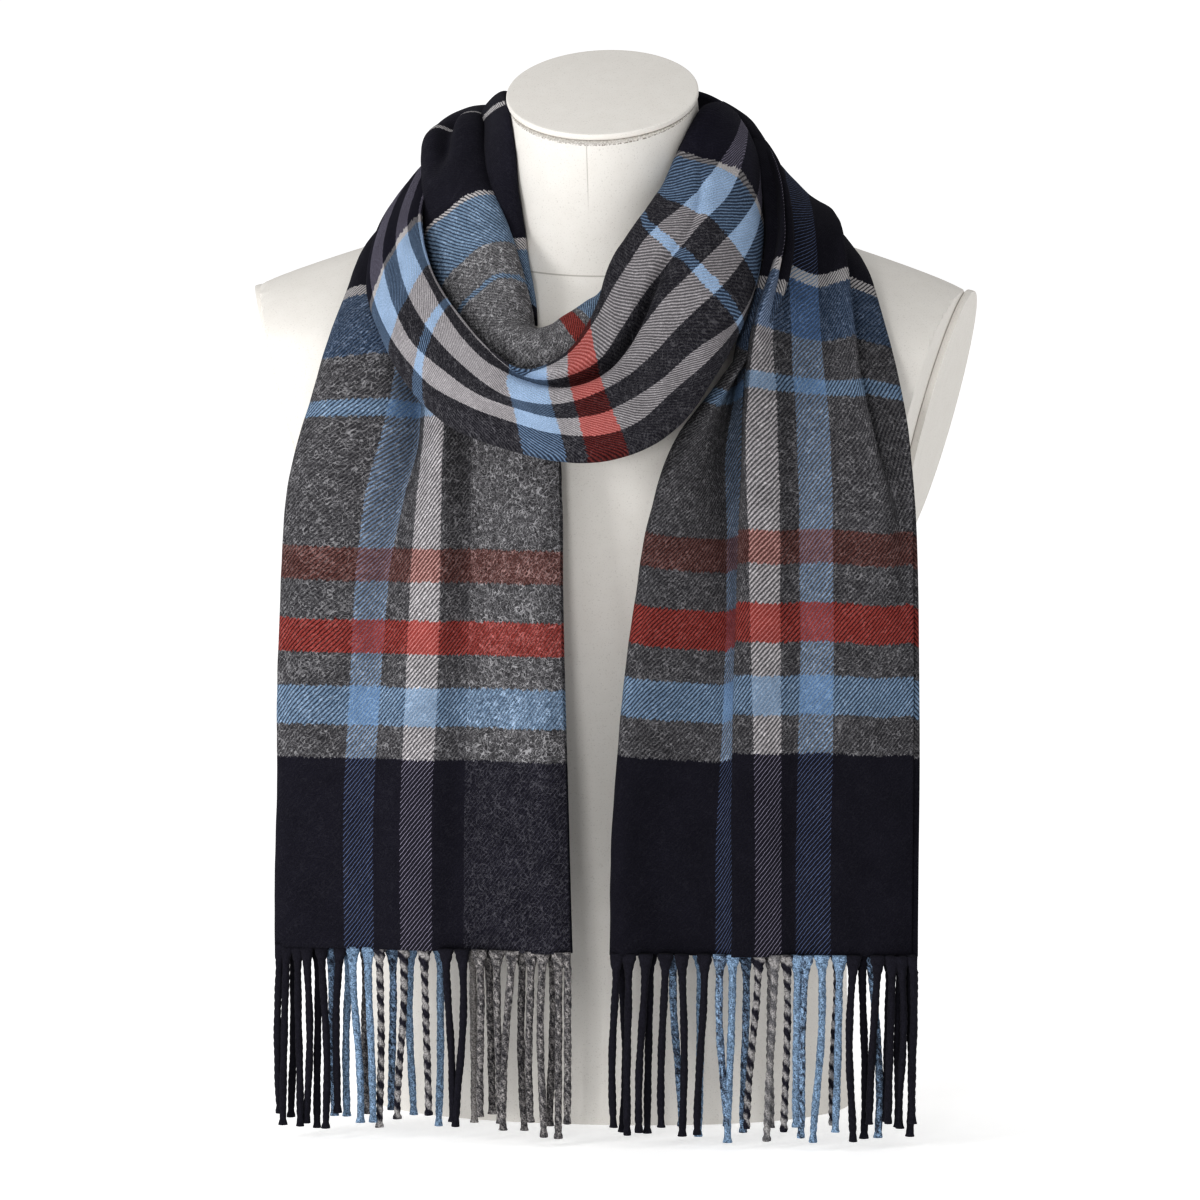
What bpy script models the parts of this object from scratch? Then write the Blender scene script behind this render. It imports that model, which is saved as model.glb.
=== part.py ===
"""Blanket scarf wound once round the neck of a limbless dress form.

Metres, +Z up, the front faces -Y and +X is the viewer's right. The origin is on the
surface that the form stands on, under its neck.

The scarf is one band of brushed wool cloth, folded in two lengthwise. It is followed from
the fringe of its left end, up over the left shoulder, behind the neck, down the right side
of the neck, across the front as a hanging loop, up the left side, behind the neck again
and over the right shoulder to the fringe of its right end. Every stretch is a wall of
cloth, lofted through sections that stand across that path.
"""
import bpy
import bmesh
import numpy as np
from math import radians, sqrt, tan
from mathutils import Matrix, Vector

# ---------------------------------------------------------------- driving dimensions
CLOTH = 0.0020            # thickness of the brushed cloth
SEAM_GAP = 0.0003         # what parts two pieces that meet
SEAM_TRIM = 0.0004        # what parts two stretches of cloth, at the angle they meet

HEM_HEIGHT = 0.126        # of the scarf's ends above the floor
STRANDS_A_LAYER = 20
STRAND_WIDTH = 0.0046
STRAND_DEPTH = 0.0036
STRAND_STEPS = 3
STRAND_CUT = 0.012        # how unevenly the strands are cut
STRAND_SWAY = 0.0014      # how far a strand's end hangs off its root, at most
STRAND_BOW = 0.0010
STRAND_WANDER = 0.12      # of a root along the hem, as a share of the pitch
FRINGE_SEED = 11
STRIP_HEIGHT = 0.0040     # backing strip that the strands hang from
STRIP_DEPTH = 0.0032
FLOOR_CLEARANCE = 0.0035  # under the longest strand

NECK_TILT = 24.0          # degrees that the neck's top leans forward
CAP_RADIUS = 0.0632
CAP_THICKNESS = 0.0045
CAP_EDGE = 0.0012
PLATE_WIDTH = 0.122       # arm plates, front to back
PLATE_HEIGHT = 0.172
PLATE_THICKNESS = 0.0045
PLATE_EDGE = 0.0015
PLATE_CENTRE = (0.2190, 0.040, 0.460)   # on the right side, mirrored to the left
PLATE_TURN = 0.11         # how far the plate's plane moves out for each metre back
PLATE_LEAN = 0.27         # and for each metre up
PLATE_FLAT = 0.115        # how far below its centre the body is cut to the plate's plane

# Depth of the plate and its gap, measured along X.
PLATE_SEAT = (PLATE_THICKNESS + SEAM_GAP) * sqrt(1 + PLATE_TURN**2 + PLATE_LEAN**2)

FORM_SIDES = 40
PLATE_SIDES = 36
FORM_STEPS = 2            # rings between two rows of the form's table

# Sections of the form, from its foot to the top of its neck. square is the exponent of the
# section's superellipse; tilt is in degrees, front down.
FORM_COLUMNS = ("z", "centre_y", "half_width", "half_depth", "square", "tilt")
FORM_SECTIONS = (
    (0.0000, 0.0150, 0.1640, 0.1000, 2.20, 0.0),
    (0.0900, 0.0150, 0.1600, 0.0990, 2.20, 0.0),
    (0.1900, 0.0080, 0.1660, 0.1010, 2.15, 0.0),
    (0.2900, 0.0030, 0.1860, 0.1060, 2.10, 0.0),
    (0.3700, 0.0000, 0.2110, 0.1100, 2.10, 0.0),
    (0.4400, 0.0000, 0.2400, 0.1130, 2.10, 0.0),
    (0.4900, 0.0030, 0.2560, 0.1120, 2.10, 2.0),
    (0.5250, 0.0080, 0.2580, 0.1060, 2.05, 4.0),
    (0.5450, 0.0150, 0.2340, 0.0970, 1.95, 6.0),
    (0.5576, 0.0150, 0.2000, 0.0880, 1.90, 9.0),
    (0.5658, 0.0130, 0.1720, 0.0810, 1.90, 12.0),
    (0.5750, 0.0100, 0.1370, 0.0750, 1.95, 16.0),
    (0.5870, 0.0060, 0.1020, 0.0705, 2.00, 20.0),
    (0.6000, 0.0030, 0.0780, 0.0685, 2.00, 23.0),
    (0.6160, -0.0020, 0.0680, 0.0655, 2.00, NECK_TILT),
    (0.6450, -0.0115, 0.0640, 0.0635, 2.00, NECK_TILT),
    (0.6720, -0.0205, 0.0620, 0.0620, 2.00, NECK_TILT),
)

# The scarf's path. Each row is a section: the x, y and z of its inner edge (at the neck, or
# towards the middle of the front), those of its outer edge, and half the depth of the
# folded cloth between them.
INNER = slice(0, 3)
OUTER = slice(3, 6)
HALF_DEPTH = 6
LEFT_END = (
    (-0.0050, -0.1570, 0.1260, -0.1997, -0.1450, 0.1260, 0.0060),
    (-0.0080, -0.1530, 0.2200, -0.1990, -0.1380, 0.2200, 0.0060),
    (-0.0110, -0.1480, 0.3000, -0.1990, -0.1320, 0.3000, 0.0060),
    (-0.0130, -0.1430, 0.3700, -0.1970, -0.1240, 0.3750, 0.0060),
    (-0.0140, -0.1400, 0.4200, -0.1940, -0.1180, 0.4250, 0.0058),
    (-0.0165, -0.1360, 0.4520, -0.1890, -0.1160, 0.4500, 0.0055),
    (-0.0360, -0.1290, 0.4920, -0.1800, -0.1110, 0.4800, 0.0050),
    (-0.0660, -0.1080, 0.5260, -0.1710, -0.0980, 0.5140, 0.0042),
    (-0.0860, -0.0740, 0.5570, -0.1640, -0.0620, 0.5450, 0.0036),
    (-0.0960, -0.0220, 0.5850, -0.1590, -0.0160, 0.5705, 0.0033),
    (-0.0960, 0.0300, 0.5978, -0.1500, 0.0300, 0.5835, 0.0033),
)
NAPE_INNER = (
    (-0.0850, 0.0720, 0.6100, -0.1220, 0.0760, 0.5940, 0.0040),
    (-0.0460, 0.0880, 0.6280, -0.0620, 0.1020, 0.5980, 0.0045),
    (0.0000, 0.0900, 0.6400, -0.0020, 0.1120, 0.6040, 0.0050),
    (0.0430, 0.0780, 0.6500, 0.0560, 0.0980, 0.6060, 0.0060),
)
FRONT_LOOP = (
    (0.0720, 0.0420, 0.6600, 0.0920, 0.0520, 0.6100, 0.0075),
    (0.0770, 0.0050, 0.6640, 0.0990, 0.0080, 0.6140, 0.0080),
    (0.0740, -0.0280, 0.6580, 0.1050, -0.0360, 0.5900, 0.0100),
    (0.0630, -0.0550, 0.6400, 0.1070, -0.0860, 0.5580, 0.0130),
    (0.0510, -0.0740, 0.6150, 0.1010, -0.1280, 0.5280, 0.0155),
    (0.0410, -0.0880, 0.5920, 0.0850, -0.1580, 0.4960, 0.0170),
    (0.0300, -0.1020, 0.5660, 0.0670, -0.1720, 0.4710, 0.0180),
    (0.0190, -0.1160, 0.5440, 0.0430, -0.1800, 0.4560, 0.0185),
    (0.0090, -0.1290, 0.5270, 0.0170, -0.1830, 0.4490, 0.0180),
    (-0.0080, -0.1420, 0.5120, -0.0160, -0.1800, 0.4485, 0.0175),
    (-0.0280, -0.1470, 0.5070, -0.0490, -0.1740, 0.4530, 0.0170),
    (-0.0480, -0.1430, 0.5130, -0.0830, -0.1650, 0.4610, 0.0160),
    (-0.0660, -0.1350, 0.5220, -0.1040, -0.1550, 0.4730, 0.0150),
    (-0.0840, -0.1200, 0.5350, -0.1220, -0.1420, 0.4925, 0.0140),
    (-0.1000, -0.0990, 0.5530, -0.1370, -0.1180, 0.5190, 0.0120),
    (-0.1130, -0.0640, 0.5830, -0.1480, -0.0820, 0.5480, 0.0090),
    (-0.1160, -0.0160, 0.6090, -0.1470, -0.0280, 0.5850, 0.0064),
    (-0.1060, 0.0360, 0.6380, -0.1340, 0.0280, 0.6080, 0.0058),
)
NAPE_OUTER = (
    (-0.0880, 0.0760, 0.6580, -0.1200, 0.0760, 0.6180, 0.0066),
    (-0.0540, 0.1040, 0.6670, -0.0840, 0.1240, 0.6060, 0.0080),
    (-0.0150, 0.1140, 0.6700, -0.0330, 0.1420, 0.5960, 0.0080),
    (0.0260, 0.1100, 0.6740, 0.0340, 0.1420, 0.5930, 0.0075),
    (0.0570, 0.0940, 0.6690, 0.0830, 0.1280, 0.5890, 0.0066),
)
RIGHT_END = (
    (0.0780, 0.0740, 0.6580, 0.1160, 0.1020, 0.5870, 0.0054),
    (0.0920, 0.0420, 0.6460, 0.1480, 0.0460, 0.5830, 0.0046),
    (0.1070, 0.0050, 0.6300, 0.1640, 0.0020, 0.5740, 0.0046),
    (0.1180, -0.0350, 0.6060, 0.1780, -0.0400, 0.5590, 0.0052),
    (0.1230, -0.0760, 0.5720, 0.1890, -0.0700, 0.5320, 0.0054),
    (0.1130, -0.1090, 0.5350, 0.2000, -0.0940, 0.4990, 0.0058),
    (0.0880, -0.1270, 0.4950, 0.2085, -0.1100, 0.4610, 0.0062),
    (0.0600, -0.1350, 0.4550, 0.2135, -0.1190, 0.4200, 0.0065),
    (0.0450, -0.1400, 0.4100, 0.2160, -0.1250, 0.3750, 0.0065),
    (0.0350, -0.1440, 0.3500, 0.2175, -0.1320, 0.3150, 0.0065),
    (0.0270, -0.1500, 0.2800, 0.2185, -0.1370, 0.2500, 0.0065),
    (0.0220, -0.1550, 0.2000, 0.2185, -0.1420, 0.1850, 0.0065),
    (0.0210, -0.1580, 0.1260, 0.2185, -0.1460, 0.1260, 0.0065),
)

# Each stretch of the path: its rows, how many sections are lofted in it, how many points
# go across, and where round the section the folded cloth is open. 180 degrees is the
# inner edge, 270 the side that faces the form and 360 the outer edge. back_share is how
# deep the side that faces the form is, beside the side that shows.
STRETCH_COLUMNS = ("name", "rows", "sections", "points",
                   "opening", "half_opening", "square", "back_share")
STRETCHES = (
    ("left_end", LEFT_END, 20, 24, 180.0, 8.0, 3.0, 1.0),
    ("nape_inner", NAPE_INNER, 8, 16, 270.0, 55.0, 2.6, 0.6),
    ("front_loop", FRONT_LOOP, 30, 18, 270.0, 52.0, 2.2, 0.4),
    ("nape_outer", NAPE_OUTER, 10, 16, 270.0, 55.0, 2.6, 0.6),
    ("right_end", RIGHT_END, 22, 26, 360.0, 8.0, 3.0, 1.0),
)

# The inner fold of the loop, a roll of its own from behind the left of the neck into the
# middle of the front, where the loop's right side covers it.
LOOP_ROLL = (
    (-0.0380, 0.0820, 0.6610, -0.0440, 0.0920, 0.6440, 0.0045),
    (-0.0680, 0.0580, 0.6640, -0.0860, 0.0620, 0.6460, 0.0060),
    (-0.0740, 0.0200, 0.6640, -0.1020, 0.0240, 0.6440, 0.0080),
    (-0.0690, -0.0150, 0.6550, -0.1150, -0.0010, 0.6280, 0.0095),
    (-0.0600, -0.0460, 0.6340, -0.1142, -0.0246, 0.6050, 0.0098),
    (-0.0500, -0.0720, 0.6030, -0.1040, -0.0580, 0.5850, 0.0100),
    (-0.0410, -0.0920, 0.5730, -0.0910, -0.0910, 0.5610, 0.0090),
    (-0.0350, -0.1080, 0.5480, -0.0720, -0.1160, 0.5390, 0.0075),
    (-0.0280, -0.1160, 0.5280, -0.0500, -0.1250, 0.5170, 0.0060),
    (-0.0160, -0.1200, 0.5200, -0.0240, -0.1290, 0.5090, 0.0045),
)
ROLL_SECTIONS = 16
ROLL_POINTS = 14
ROLL_HALF_OPENING = 55.0
ROLL_SQUARE = 2.2
ROLL_BACK_SHARE = 0.5

# Folds that run along the cloth. Across is -1 at the inner edge and 1 at the outer one;
# first and last are the share of the stretch's length where the fold starts and fades.
FOLD_COLUMNS = ("across", "first", "last", "depth", "half_width")
FOLD_FADE = 0.15          # share of the length in which a fold deepens
FOLDS = {
    "left_end": (
        (0.34, 0.28, 0.76, 0.0100, 0.016),
        (-0.42, 0.02, 0.62, 0.0050, 0.022),
    ),
    "front_loop": (
        (-0.20, 0.26, 0.60, 0.0060, 0.016),
        (0.35, 0.48, 0.96, 0.0050, 0.014),
        (0.10, 0.02, 0.40, 0.0045, 0.012),
    ),
    "nape_outer": (
        (0.05, 0.05, 0.95, 0.0050, 0.016),
    ),
    "right_end": (
        (-0.30, 0.36, 0.90, 0.0090, 0.018),
        (0.66, 0.02, 0.66, 0.0050, 0.012),
        (0.16, 0.02, 0.40, 0.0040, 0.014),
    ),
}

# Steps, where one part of the cloth lies over the next: the inner side of the step drops.
STEP_FADE = 0.20
STEPS = {
    "right_end": (
        (-0.36, 0.36, 1.30, 0.0060, 0.008),
    ),
}

SHAPE_FADE = 0.35         # share of a stretch in which its section turns into the next one's
HEADING_STEP = 0.05       # part of a row either side, to read the path's heading

# Colours as the finished pieces show them, linear RGB, with their roughness.
CLOTH_NAVY = ((0.012, 0.013, 0.024, 1.0), 0.95)
CLOTH_GREY = ((0.090, 0.088, 0.090, 1.0), 0.95)
CANVAS = ((0.640, 0.600, 0.560, 1.0), 0.85)


# ---------------------------------------------------------------- helpers
def clear_scene():
    """Remove whatever the file already holds."""
    for thing in list(bpy.data.objects):
        bpy.data.objects.remove(thing, do_unlink=True)


def finish_material(name, finish):
    """A Principled material with one colour and roughness."""
    colour, roughness = finish
    material = bpy.data.materials.new(name)
    material.use_nodes = True
    shader = material.node_tree.nodes["Principled BSDF"]
    shader.inputs["Base Color"].default_value = colour
    shader.inputs["Roughness"].default_value = roughness
    shader.inputs["Metallic"].default_value = 0.0
    return material


def add_object(name, bm, finish):
    """Turn a bmesh into an object of its own with its own material."""
    bm.normal_update()
    bmesh.ops.recalc_face_normals(bm, faces=bm.faces[:])
    mesh = bpy.data.meshes.new(name)
    bm.to_mesh(mesh)
    bm.free()
    mesh.shade_smooth()
    mesh.set_sharp_from_angle(angle=radians(50))
    thing = bpy.data.objects.new(name, mesh)
    thing.data.materials.append(finish_material(name, finish))
    bpy.context.scene.collection.objects.link(thing)
    return thing


def bridge_rows(bm, rows, closed):
    """Join rows of vertices with quads; closed rows run all the way round."""
    for first, second in zip(rows, rows[1:]):
        count = len(first)
        last = count if closed else count - 1
        for i in range(last):
            j = (i + 1) % count
            bm.faces.new((first[i], first[j], second[j], second[i]))


def smooth_rows(rows, places):
    """Values at the given places along a table, on a smooth curve through its rows.

    A place counts in rows, so 2.5 is half-way between the third row and the fourth. The
    curve's slope at each row comes from the rows on either side, by their real distance.
    """
    table = np.array(rows, dtype=float)
    on_path = table.shape[1] > HALF_DEPTH
    middles = (table[:, INNER] + table[:, OUTER]) / 2 if on_path else table[:, 0:1]
    steps = np.linalg.norm(np.diff(middles, axis=0), axis=1)
    knots = np.concatenate(([0.0], np.cumsum(steps)))
    rates = np.diff(table, axis=0) / steps[:, None]
    slopes = np.empty_like(table)
    slopes[0], slopes[-1] = rates[0], rates[-1]
    before, after = steps[:-1, None], steps[1:, None]
    slopes[1:-1] = (rates[:-1] * after + rates[1:] * before) / (before + after)
    values = []
    for place in places:
        i = min(int(place), len(table) - 2)
        share = place - i
        run = knots[i + 1] - knots[i]
        h00 = 2 * share**3 - 3 * share**2 + 1
        h10 = share**3 - 2 * share**2 + share
        h01 = 3 * share**2 - 2 * share**3
        h11 = share**3 - share**2
        value = h00 * table[i] + h10 * run * slopes[i]
        value += h01 * table[i + 1] + h11 * run * slopes[i + 1]
        values.append(value)
    return np.array(values)


def rounded(value, square):
    """A cosine or sine turned into that of a superellipse with this exponent."""
    return np.sign(value) * abs(value) ** (2 / square)


def ease(value):
    """0 below 0, 1 above 1, and a soft rise between."""
    value = np.clip(value, 0.0, 1.0)
    return value * value * (3.0 - 2.0 * value)


# ---------------------------------------------------------------- dress form
def plate_limit(y, z):
    """How far out the body may reach: the arm plate's plane, and upright below the plate."""
    x, centre_y, centre_z = PLATE_CENTRE
    height = max(z - centre_z, -PLATE_FLAT)
    return x + PLATE_TURN * (y - centre_y) + PLATE_LEAN * height


def form_ring(row):
    """Points round one section of the form, cut flat where the arm plates sit."""
    section = dict(zip(FORM_COLUMNS, row))
    points = []
    for i in range(FORM_SIDES):
        angle = 2 * np.pi * i / FORM_SIDES
        x = section["half_width"] * rounded(np.cos(angle), section["square"])
        y = section["half_depth"] * rounded(np.sin(angle), section["square"])
        z = section["z"] + y * tan(radians(section["tilt"]))
        y += section["centre_y"]
        limit = plate_limit(y, z) - PLATE_SEAT
        points.append((np.clip(x, -limit, limit), y, z))
    return points


def build_form_body():
    """Torso and neck in one smooth closed body with a flat foot."""
    count = (len(FORM_SECTIONS) - 1) * FORM_STEPS
    places = [i / FORM_STEPS for i in range(count + 1)]
    bm = bmesh.new()
    rings = []
    for row in smooth_rows(FORM_SECTIONS, places):
        rings.append([bm.verts.new(point) for point in form_ring(row)])
    bridge_rows(bm, rings, closed=True)
    bm.faces.new(rings[0])
    bm.faces.new(rings[-1])
    return add_object("form_body", bm, CANVAS)


def rounded_disc(radius, thickness, edge, sides):
    """A disc on the ground plane with its outer edges rounded off."""
    bm = bmesh.new()
    bmesh.ops.create_cone(bm, cap_ends=True, segments=sides, radius1=radius,
                          radius2=radius, depth=thickness)
    rims = [e for e in bm.edges if abs(e.verts[0].co.z - e.verts[1].co.z) < 1e-6]
    bmesh.ops.bevel(bm, geom=rims, offset=edge, segments=1, profile=0.5,
                    affect="EDGES", material=-1)
    bmesh.ops.translate(bm, vec=(0, 0, thickness / 2), verts=bm.verts[:])
    return bm


def build_neck_cap():
    """The round plate that closes the neck, square to the neck's lean."""
    z, centre_y = FORM_SECTIONS[-1][0:2]
    bm = rounded_disc(CAP_RADIUS, CAP_THICKNESS, CAP_EDGE, PLATE_SIDES)
    bmesh.ops.translate(bm, vec=(0, 0, SEAM_GAP), verts=bm.verts[:])
    bmesh.ops.rotate(bm, cent=(0, 0, 0), verts=bm.verts[:],
                     matrix=Matrix.Rotation(radians(NECK_TILT), 3, "X"))
    bmesh.ops.translate(bm, vec=(0, centre_y, z), verts=bm.verts[:])
    return add_object("form_neck_cap", bm, CANVAS)


def build_arm_plate(name, side):
    """The oval plate that closes an armhole; side is 1 on the right, -1 on the left."""
    bm = rounded_disc(0.5, PLATE_THICKNESS, PLATE_EDGE, PLATE_SIDES)
    outward = Vector((1.0, -PLATE_TURN, -PLATE_LEAN)).normalized()
    back = Vector((PLATE_TURN, 1.0, 0.0)).normalized()
    up = outward.cross(back)
    centre = Vector(PLATE_CENTRE)
    for vert in bm.verts:
        x, y, z = vert.co
        inset = abs(z - PLATE_THICKNESS / 2) > PLATE_THICKNESS / 2 - 1e-6
        grow = PLATE_EDGE if inset else 0.0
        ring = Vector((x, y)).length
        wide = (PLATE_WIDTH / 2 - grow) * x / ring
        high = (PLATE_HEIGHT / 2 - grow) * y / ring
        place = centre + back * wide + up * high + outward * (z - PLATE_THICKNESS)
        vert.co = (side * place.x, place.y, place.z)
    return add_object(name, bm, CANVAS)


# ---------------------------------------------------------------- scarf
def stretch_value(stretch, column):
    """One named value out of a row of STRETCHES."""
    return stretch[STRETCH_COLUMNS.index(column)]


def fold_offset(name, share, across, half_width):
    """How far the cloth sinks at a place, from the stretch's folds and steps."""
    offset = 0.0
    for row in FOLDS.get(name, ()):
        fold = dict(zip(FOLD_COLUMNS, row))
        fade = ease((share - fold["first"]) / FOLD_FADE)
        fade *= ease((fold["last"] - share) / FOLD_FADE)
        distance = (across - fold["across"]) * half_width / fold["half_width"]
        offset -= fold["depth"] * fade * np.exp(-distance * distance)
    for row in STEPS.get(name, ()):
        step = dict(zip(FOLD_COLUMNS, row))
        fade = ease((share - step["first"]) / STEP_FADE)
        fade *= ease((step["last"] - share) / STEP_FADE)
        distance = (across - step["across"]) * half_width / step["half_width"]
        offset -= step["depth"] * fade * ease(0.5 - distance / 2)
    return offset


def folded_section(name, row, forward, share, shape):
    """Points round one section of folded cloth, from its one hem to the other."""
    count, opening, half_opening, square, back_share = shape
    middle = Vector(row[INNER] + row[OUTER]) / 2
    reach = Vector(row[OUTER] - row[INNER]) / 2
    out = forward.cross(reach).normalized()
    angles = np.radians(np.linspace(opening + half_opening,
                                    opening + 360.0 - half_opening, count))
    points = []
    for angle in angles:
        across = rounded(np.cos(angle), square)
        deep = rounded(np.sin(angle), square)
        deep *= row[HALF_DEPTH] * (1.0 if deep > 0 else back_share)
        sink = fold_offset(name, share, across, reach.length)
        points.append(middle + reach * across + out * (deep + sink))
    return points


def section_normal(row, forward):
    """The direction square to a section's plane, on along the path."""
    reach = Vector(row[OUTER] - row[INNER])
    out = forward.cross(reach)
    return reach.cross(out).normalized()


def scarf_path():
    """All the rows of the path in order, and the row where each stretch starts."""
    rows = []
    starts = []
    for stretch in STRETCHES:
        starts.append(len(rows))
        rows.extend(stretch_value(stretch, "rows"))
    starts.append(len(rows) - 1)
    return rows, starts


def blend_value(stretches, index, share, column):
    """A stretch's own value, eased over to its neighbours' near its two ends."""
    own = stretch_value(stretches[index], column)
    value = own
    if index > 0:
        before = stretch_value(stretches[index - 1], column)
        value += ((before + own) / 2 - own) * ease(1 - share / SHAPE_FADE)
    if index < len(stretches) - 1:
        after = stretch_value(stretches[index + 1], column)
        value += ((after + own) / 2 - own) * ease(1 - (1 - share) / SHAPE_FADE)
    return value


def wall_ring(points, forward):
    """A closed ring round a section of cloth: its outer side, then its inner side back."""
    outer = []
    inner = []
    for i, point in enumerate(points):
        before = points[max(i - 1, 0)]
        after = points[min(i + 1, len(points) - 1)]
        normal = forward.cross(after - before).normalized()
        outer.append(point + normal * CLOTH / 2)
        inner.append(point - normal * CLOTH / 2)
    return outer + inner[::-1]


def cloth_wall(name, rings, finish):
    """A closed wall of cloth through the rings that stand across its path."""
    bm = bmesh.new()
    rows = [[bm.verts.new(point) for point in ring] for ring in rings]
    bridge_rows(bm, rows, closed=True)
    for row in (rows[0], rows[-1]):
        half = len(row) // 2
        for i in range(half - 1):
            bm.faces.new((row[i], row[i + 1], row[-i - 2], row[-i - 1]))
    return add_object(name, bm, finish)


def stretch_sections(rows, first, last, stretch, index):
    """The sections of one stretch and the rings round them, half a gap off each end."""
    name = stretch_value(stretch, "name")
    count = stretch_value(stretch, "sections")
    shares = np.linspace(0.0, 1.0, count)
    places = first + shares * (last - first)
    values = smooth_rows(rows, places)
    ahead = smooth_rows(rows, np.minimum(places + HEADING_STEP, len(rows) - 1.0))
    behind = smooth_rows(rows, np.maximum(places - HEADING_STEP, 0.0))
    nudges = np.zeros(count)
    nudges[0], nudges[-1] = SEAM_TRIM / 2, -SEAM_TRIM / 2
    sections = []
    rings = []
    for share, row, one, two, nudge in zip(shares, values, behind, ahead, nudges):
        run = two - one
        forward = Vector(run[INNER] + run[OUTER]).normalized()
        shape = [stretch_value(stretch, "points")]
        for column in ("opening", "half_opening", "square", "back_share"):
            shape.append(blend_value(STRETCHES, index, share, column))
        section = folded_section(name, row, forward, share, shape)
        plane = section_normal(row, forward)
        section = [point + plane * nudge for point in section]
        sections.append(section)
        rings.append(wall_ring(section, plane))
    return sections, rings


def build_scarf():
    """Every stretch of the scarf's path as a wall of its own; returns their sections."""
    rows, starts = scarf_path()
    lofted = {}
    for index, stretch in enumerate(STRETCHES):
        name = stretch_value(stretch, "name")
        span = (starts[index], starts[index + 1])
        sections, rings = stretch_sections(rows, *span, stretch, index)
        finish = CLOTH_GREY if name.startswith("front") else CLOTH_NAVY
        cloth_wall(name, rings, finish)
        lofted[name] = sections
    return lofted


def build_loop_roll():
    """The inner fold of the front loop."""
    places = np.linspace(0.0, len(LOOP_ROLL) - 1.0, ROLL_SECTIONS)
    values = smooth_rows(LOOP_ROLL, places)
    rings = []
    headings = -np.gradient(values[:, INNER] + values[:, OUTER], axis=0)
    shape = (ROLL_POINTS, 270.0, ROLL_HALF_OPENING, ROLL_SQUARE, ROLL_BACK_SHARE)
    for share, row, heading in zip(np.linspace(0, 1, ROLL_SECTIONS), values, headings):
        forward = Vector(heading).normalized()
        section = folded_section("front_roll", row, forward, share, shape)
        rings.append(wall_ring(section, section_normal(row, forward)))
    return cloth_wall("front_roll", rings, CLOTH_GREY)


# ---------------------------------------------------------------- fringe
def hem_layers(section):
    """Split an end's last section at its fold, into its front and its back layer."""
    half = len(section) // 2
    layers = [section[:half - 1], section[half + 1:]]
    layers.sort(key=lambda layer: sum(point.y for point in layer) / len(layer))
    return [sorted(layer, key=lambda point: point.x) for layer in layers]


def along(points, share):
    """The point at a share of a line of points, and the line's heading there."""
    lengths = [0.0]
    for one, two in zip(points, points[1:]):
        lengths.append(lengths[-1] + (two - one).length)
    wanted = share * lengths[-1]
    for i in range(len(points) - 1):
        if wanted <= lengths[i + 1] or i == len(points) - 2:
            step = points[i + 1] - points[i]
            part = (wanted - lengths[i]) / step.length
            return points[i] + step * part, step.normalized()


def build_fringe(name, hem, seed, finish):
    """Strands that grow out of a narrow strip just under one layer's hem."""
    rng = np.random.default_rng(seed)
    length = sum((two - one).length for one, two in zip(hem, hem[1:]))
    pitch = length / STRANDS_A_LAYER
    half = STRAND_WIDTH / length / 2
    cuts = []
    for i in range(STRANDS_A_LAYER):
        wander = rng.uniform(-STRAND_WANDER, STRAND_WANDER) * pitch / length
        middle = (i + 0.5) / STRANDS_A_LAYER + wander
        cuts += [middle - half, middle + half]
    bm = bmesh.new()
    rows = []
    for cut in cuts:
        point, heading = along(hem, cut)
        deep = Vector((heading.y, -heading.x, 0)).normalized() * STRIP_DEPTH / 2
        top = point - Vector((0, 0, SEAM_TRIM))
        foot = top - Vector((0, 0, STRIP_HEIGHT))
        corners = (top - deep, top + deep, foot + deep, foot - deep)
        rows.append([bm.verts.new(corner) for corner in corners])
    bridge_rows(bm, rows, closed=True)
    bm.faces.new(rows[0])
    bm.faces.new(rows[-1])
    bmesh.ops.recalc_face_normals(bm, faces=bm.faces[:])
    for i in range(STRANDS_A_LAYER):
        root = bm.faces.get([rows[2 * i][2], rows[2 * i][3],
                             rows[2 * i + 1][3], rows[2 * i + 1][2]])
        grow_strand(bm, root, rng)
    return add_object(name, bm, finish)


def grow_strand(bm, root, rng):
    """Draw one strand down out of a face under the strip, in leaning steps."""
    longest = HEM_HEIGHT - SEAM_TRIM - STRIP_HEIGHT - FLOOR_CLEARANCE
    reach = longest - rng.uniform(0.0, STRAND_CUT)
    sway_x = rng.uniform(-STRAND_SWAY, STRAND_SWAY)
    sway_y = rng.uniform(-STRAND_SWAY, STRAND_SWAY)
    bow = rng.uniform(-STRAND_BOW, STRAND_BOW)
    face = root
    at_x, at_y = 0.0, 0.0
    for i in range(1, STRAND_STEPS + 1):
        share = i / STRAND_STEPS
        grown = bmesh.ops.extrude_discrete_faces(bm, faces=[face])
        face = grown["faces"][0]
        to_x = sway_x * share + bow * 4 * share * (1 - share)
        to_y = sway_y * share
        move = (to_x - at_x, to_y - at_y, -reach / STRAND_STEPS)
        bmesh.ops.translate(bm, vec=move, verts=face.verts[:])
        at_x, at_y = to_x, to_y
        if i == 1:
            widen = Vector((1.0, STRAND_DEPTH / STRIP_DEPTH, 1.0))
            centre = face.calc_center_median()
            space = Matrix.Translation(-centre)
            bmesh.ops.scale(bm, vec=widen, space=space, verts=face.verts[:])


def build_fringes(lofted):
    """A fringe under each layer of both ends."""
    seed = FRINGE_SEED
    for name, section in (("left", lofted["left_end"][0]), ("right", lofted["right_end"][-1])):
        front, back = hem_layers(section)
        build_fringe(f"fringe_{name}_front", front, seed, CLOTH_NAVY)
        build_fringe(f"fringe_{name}_back", back, seed + 1, CLOTH_NAVY)
        seed += 2


def main():
    clear_scene()
    build_form_body()
    build_neck_cap()
    build_arm_plate("form_arm_plate_right", 1)
    build_arm_plate("form_arm_plate_left", -1)
    lofted = build_scarf()
    build_loop_roll()
    build_fringes(lofted)


main()
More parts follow.
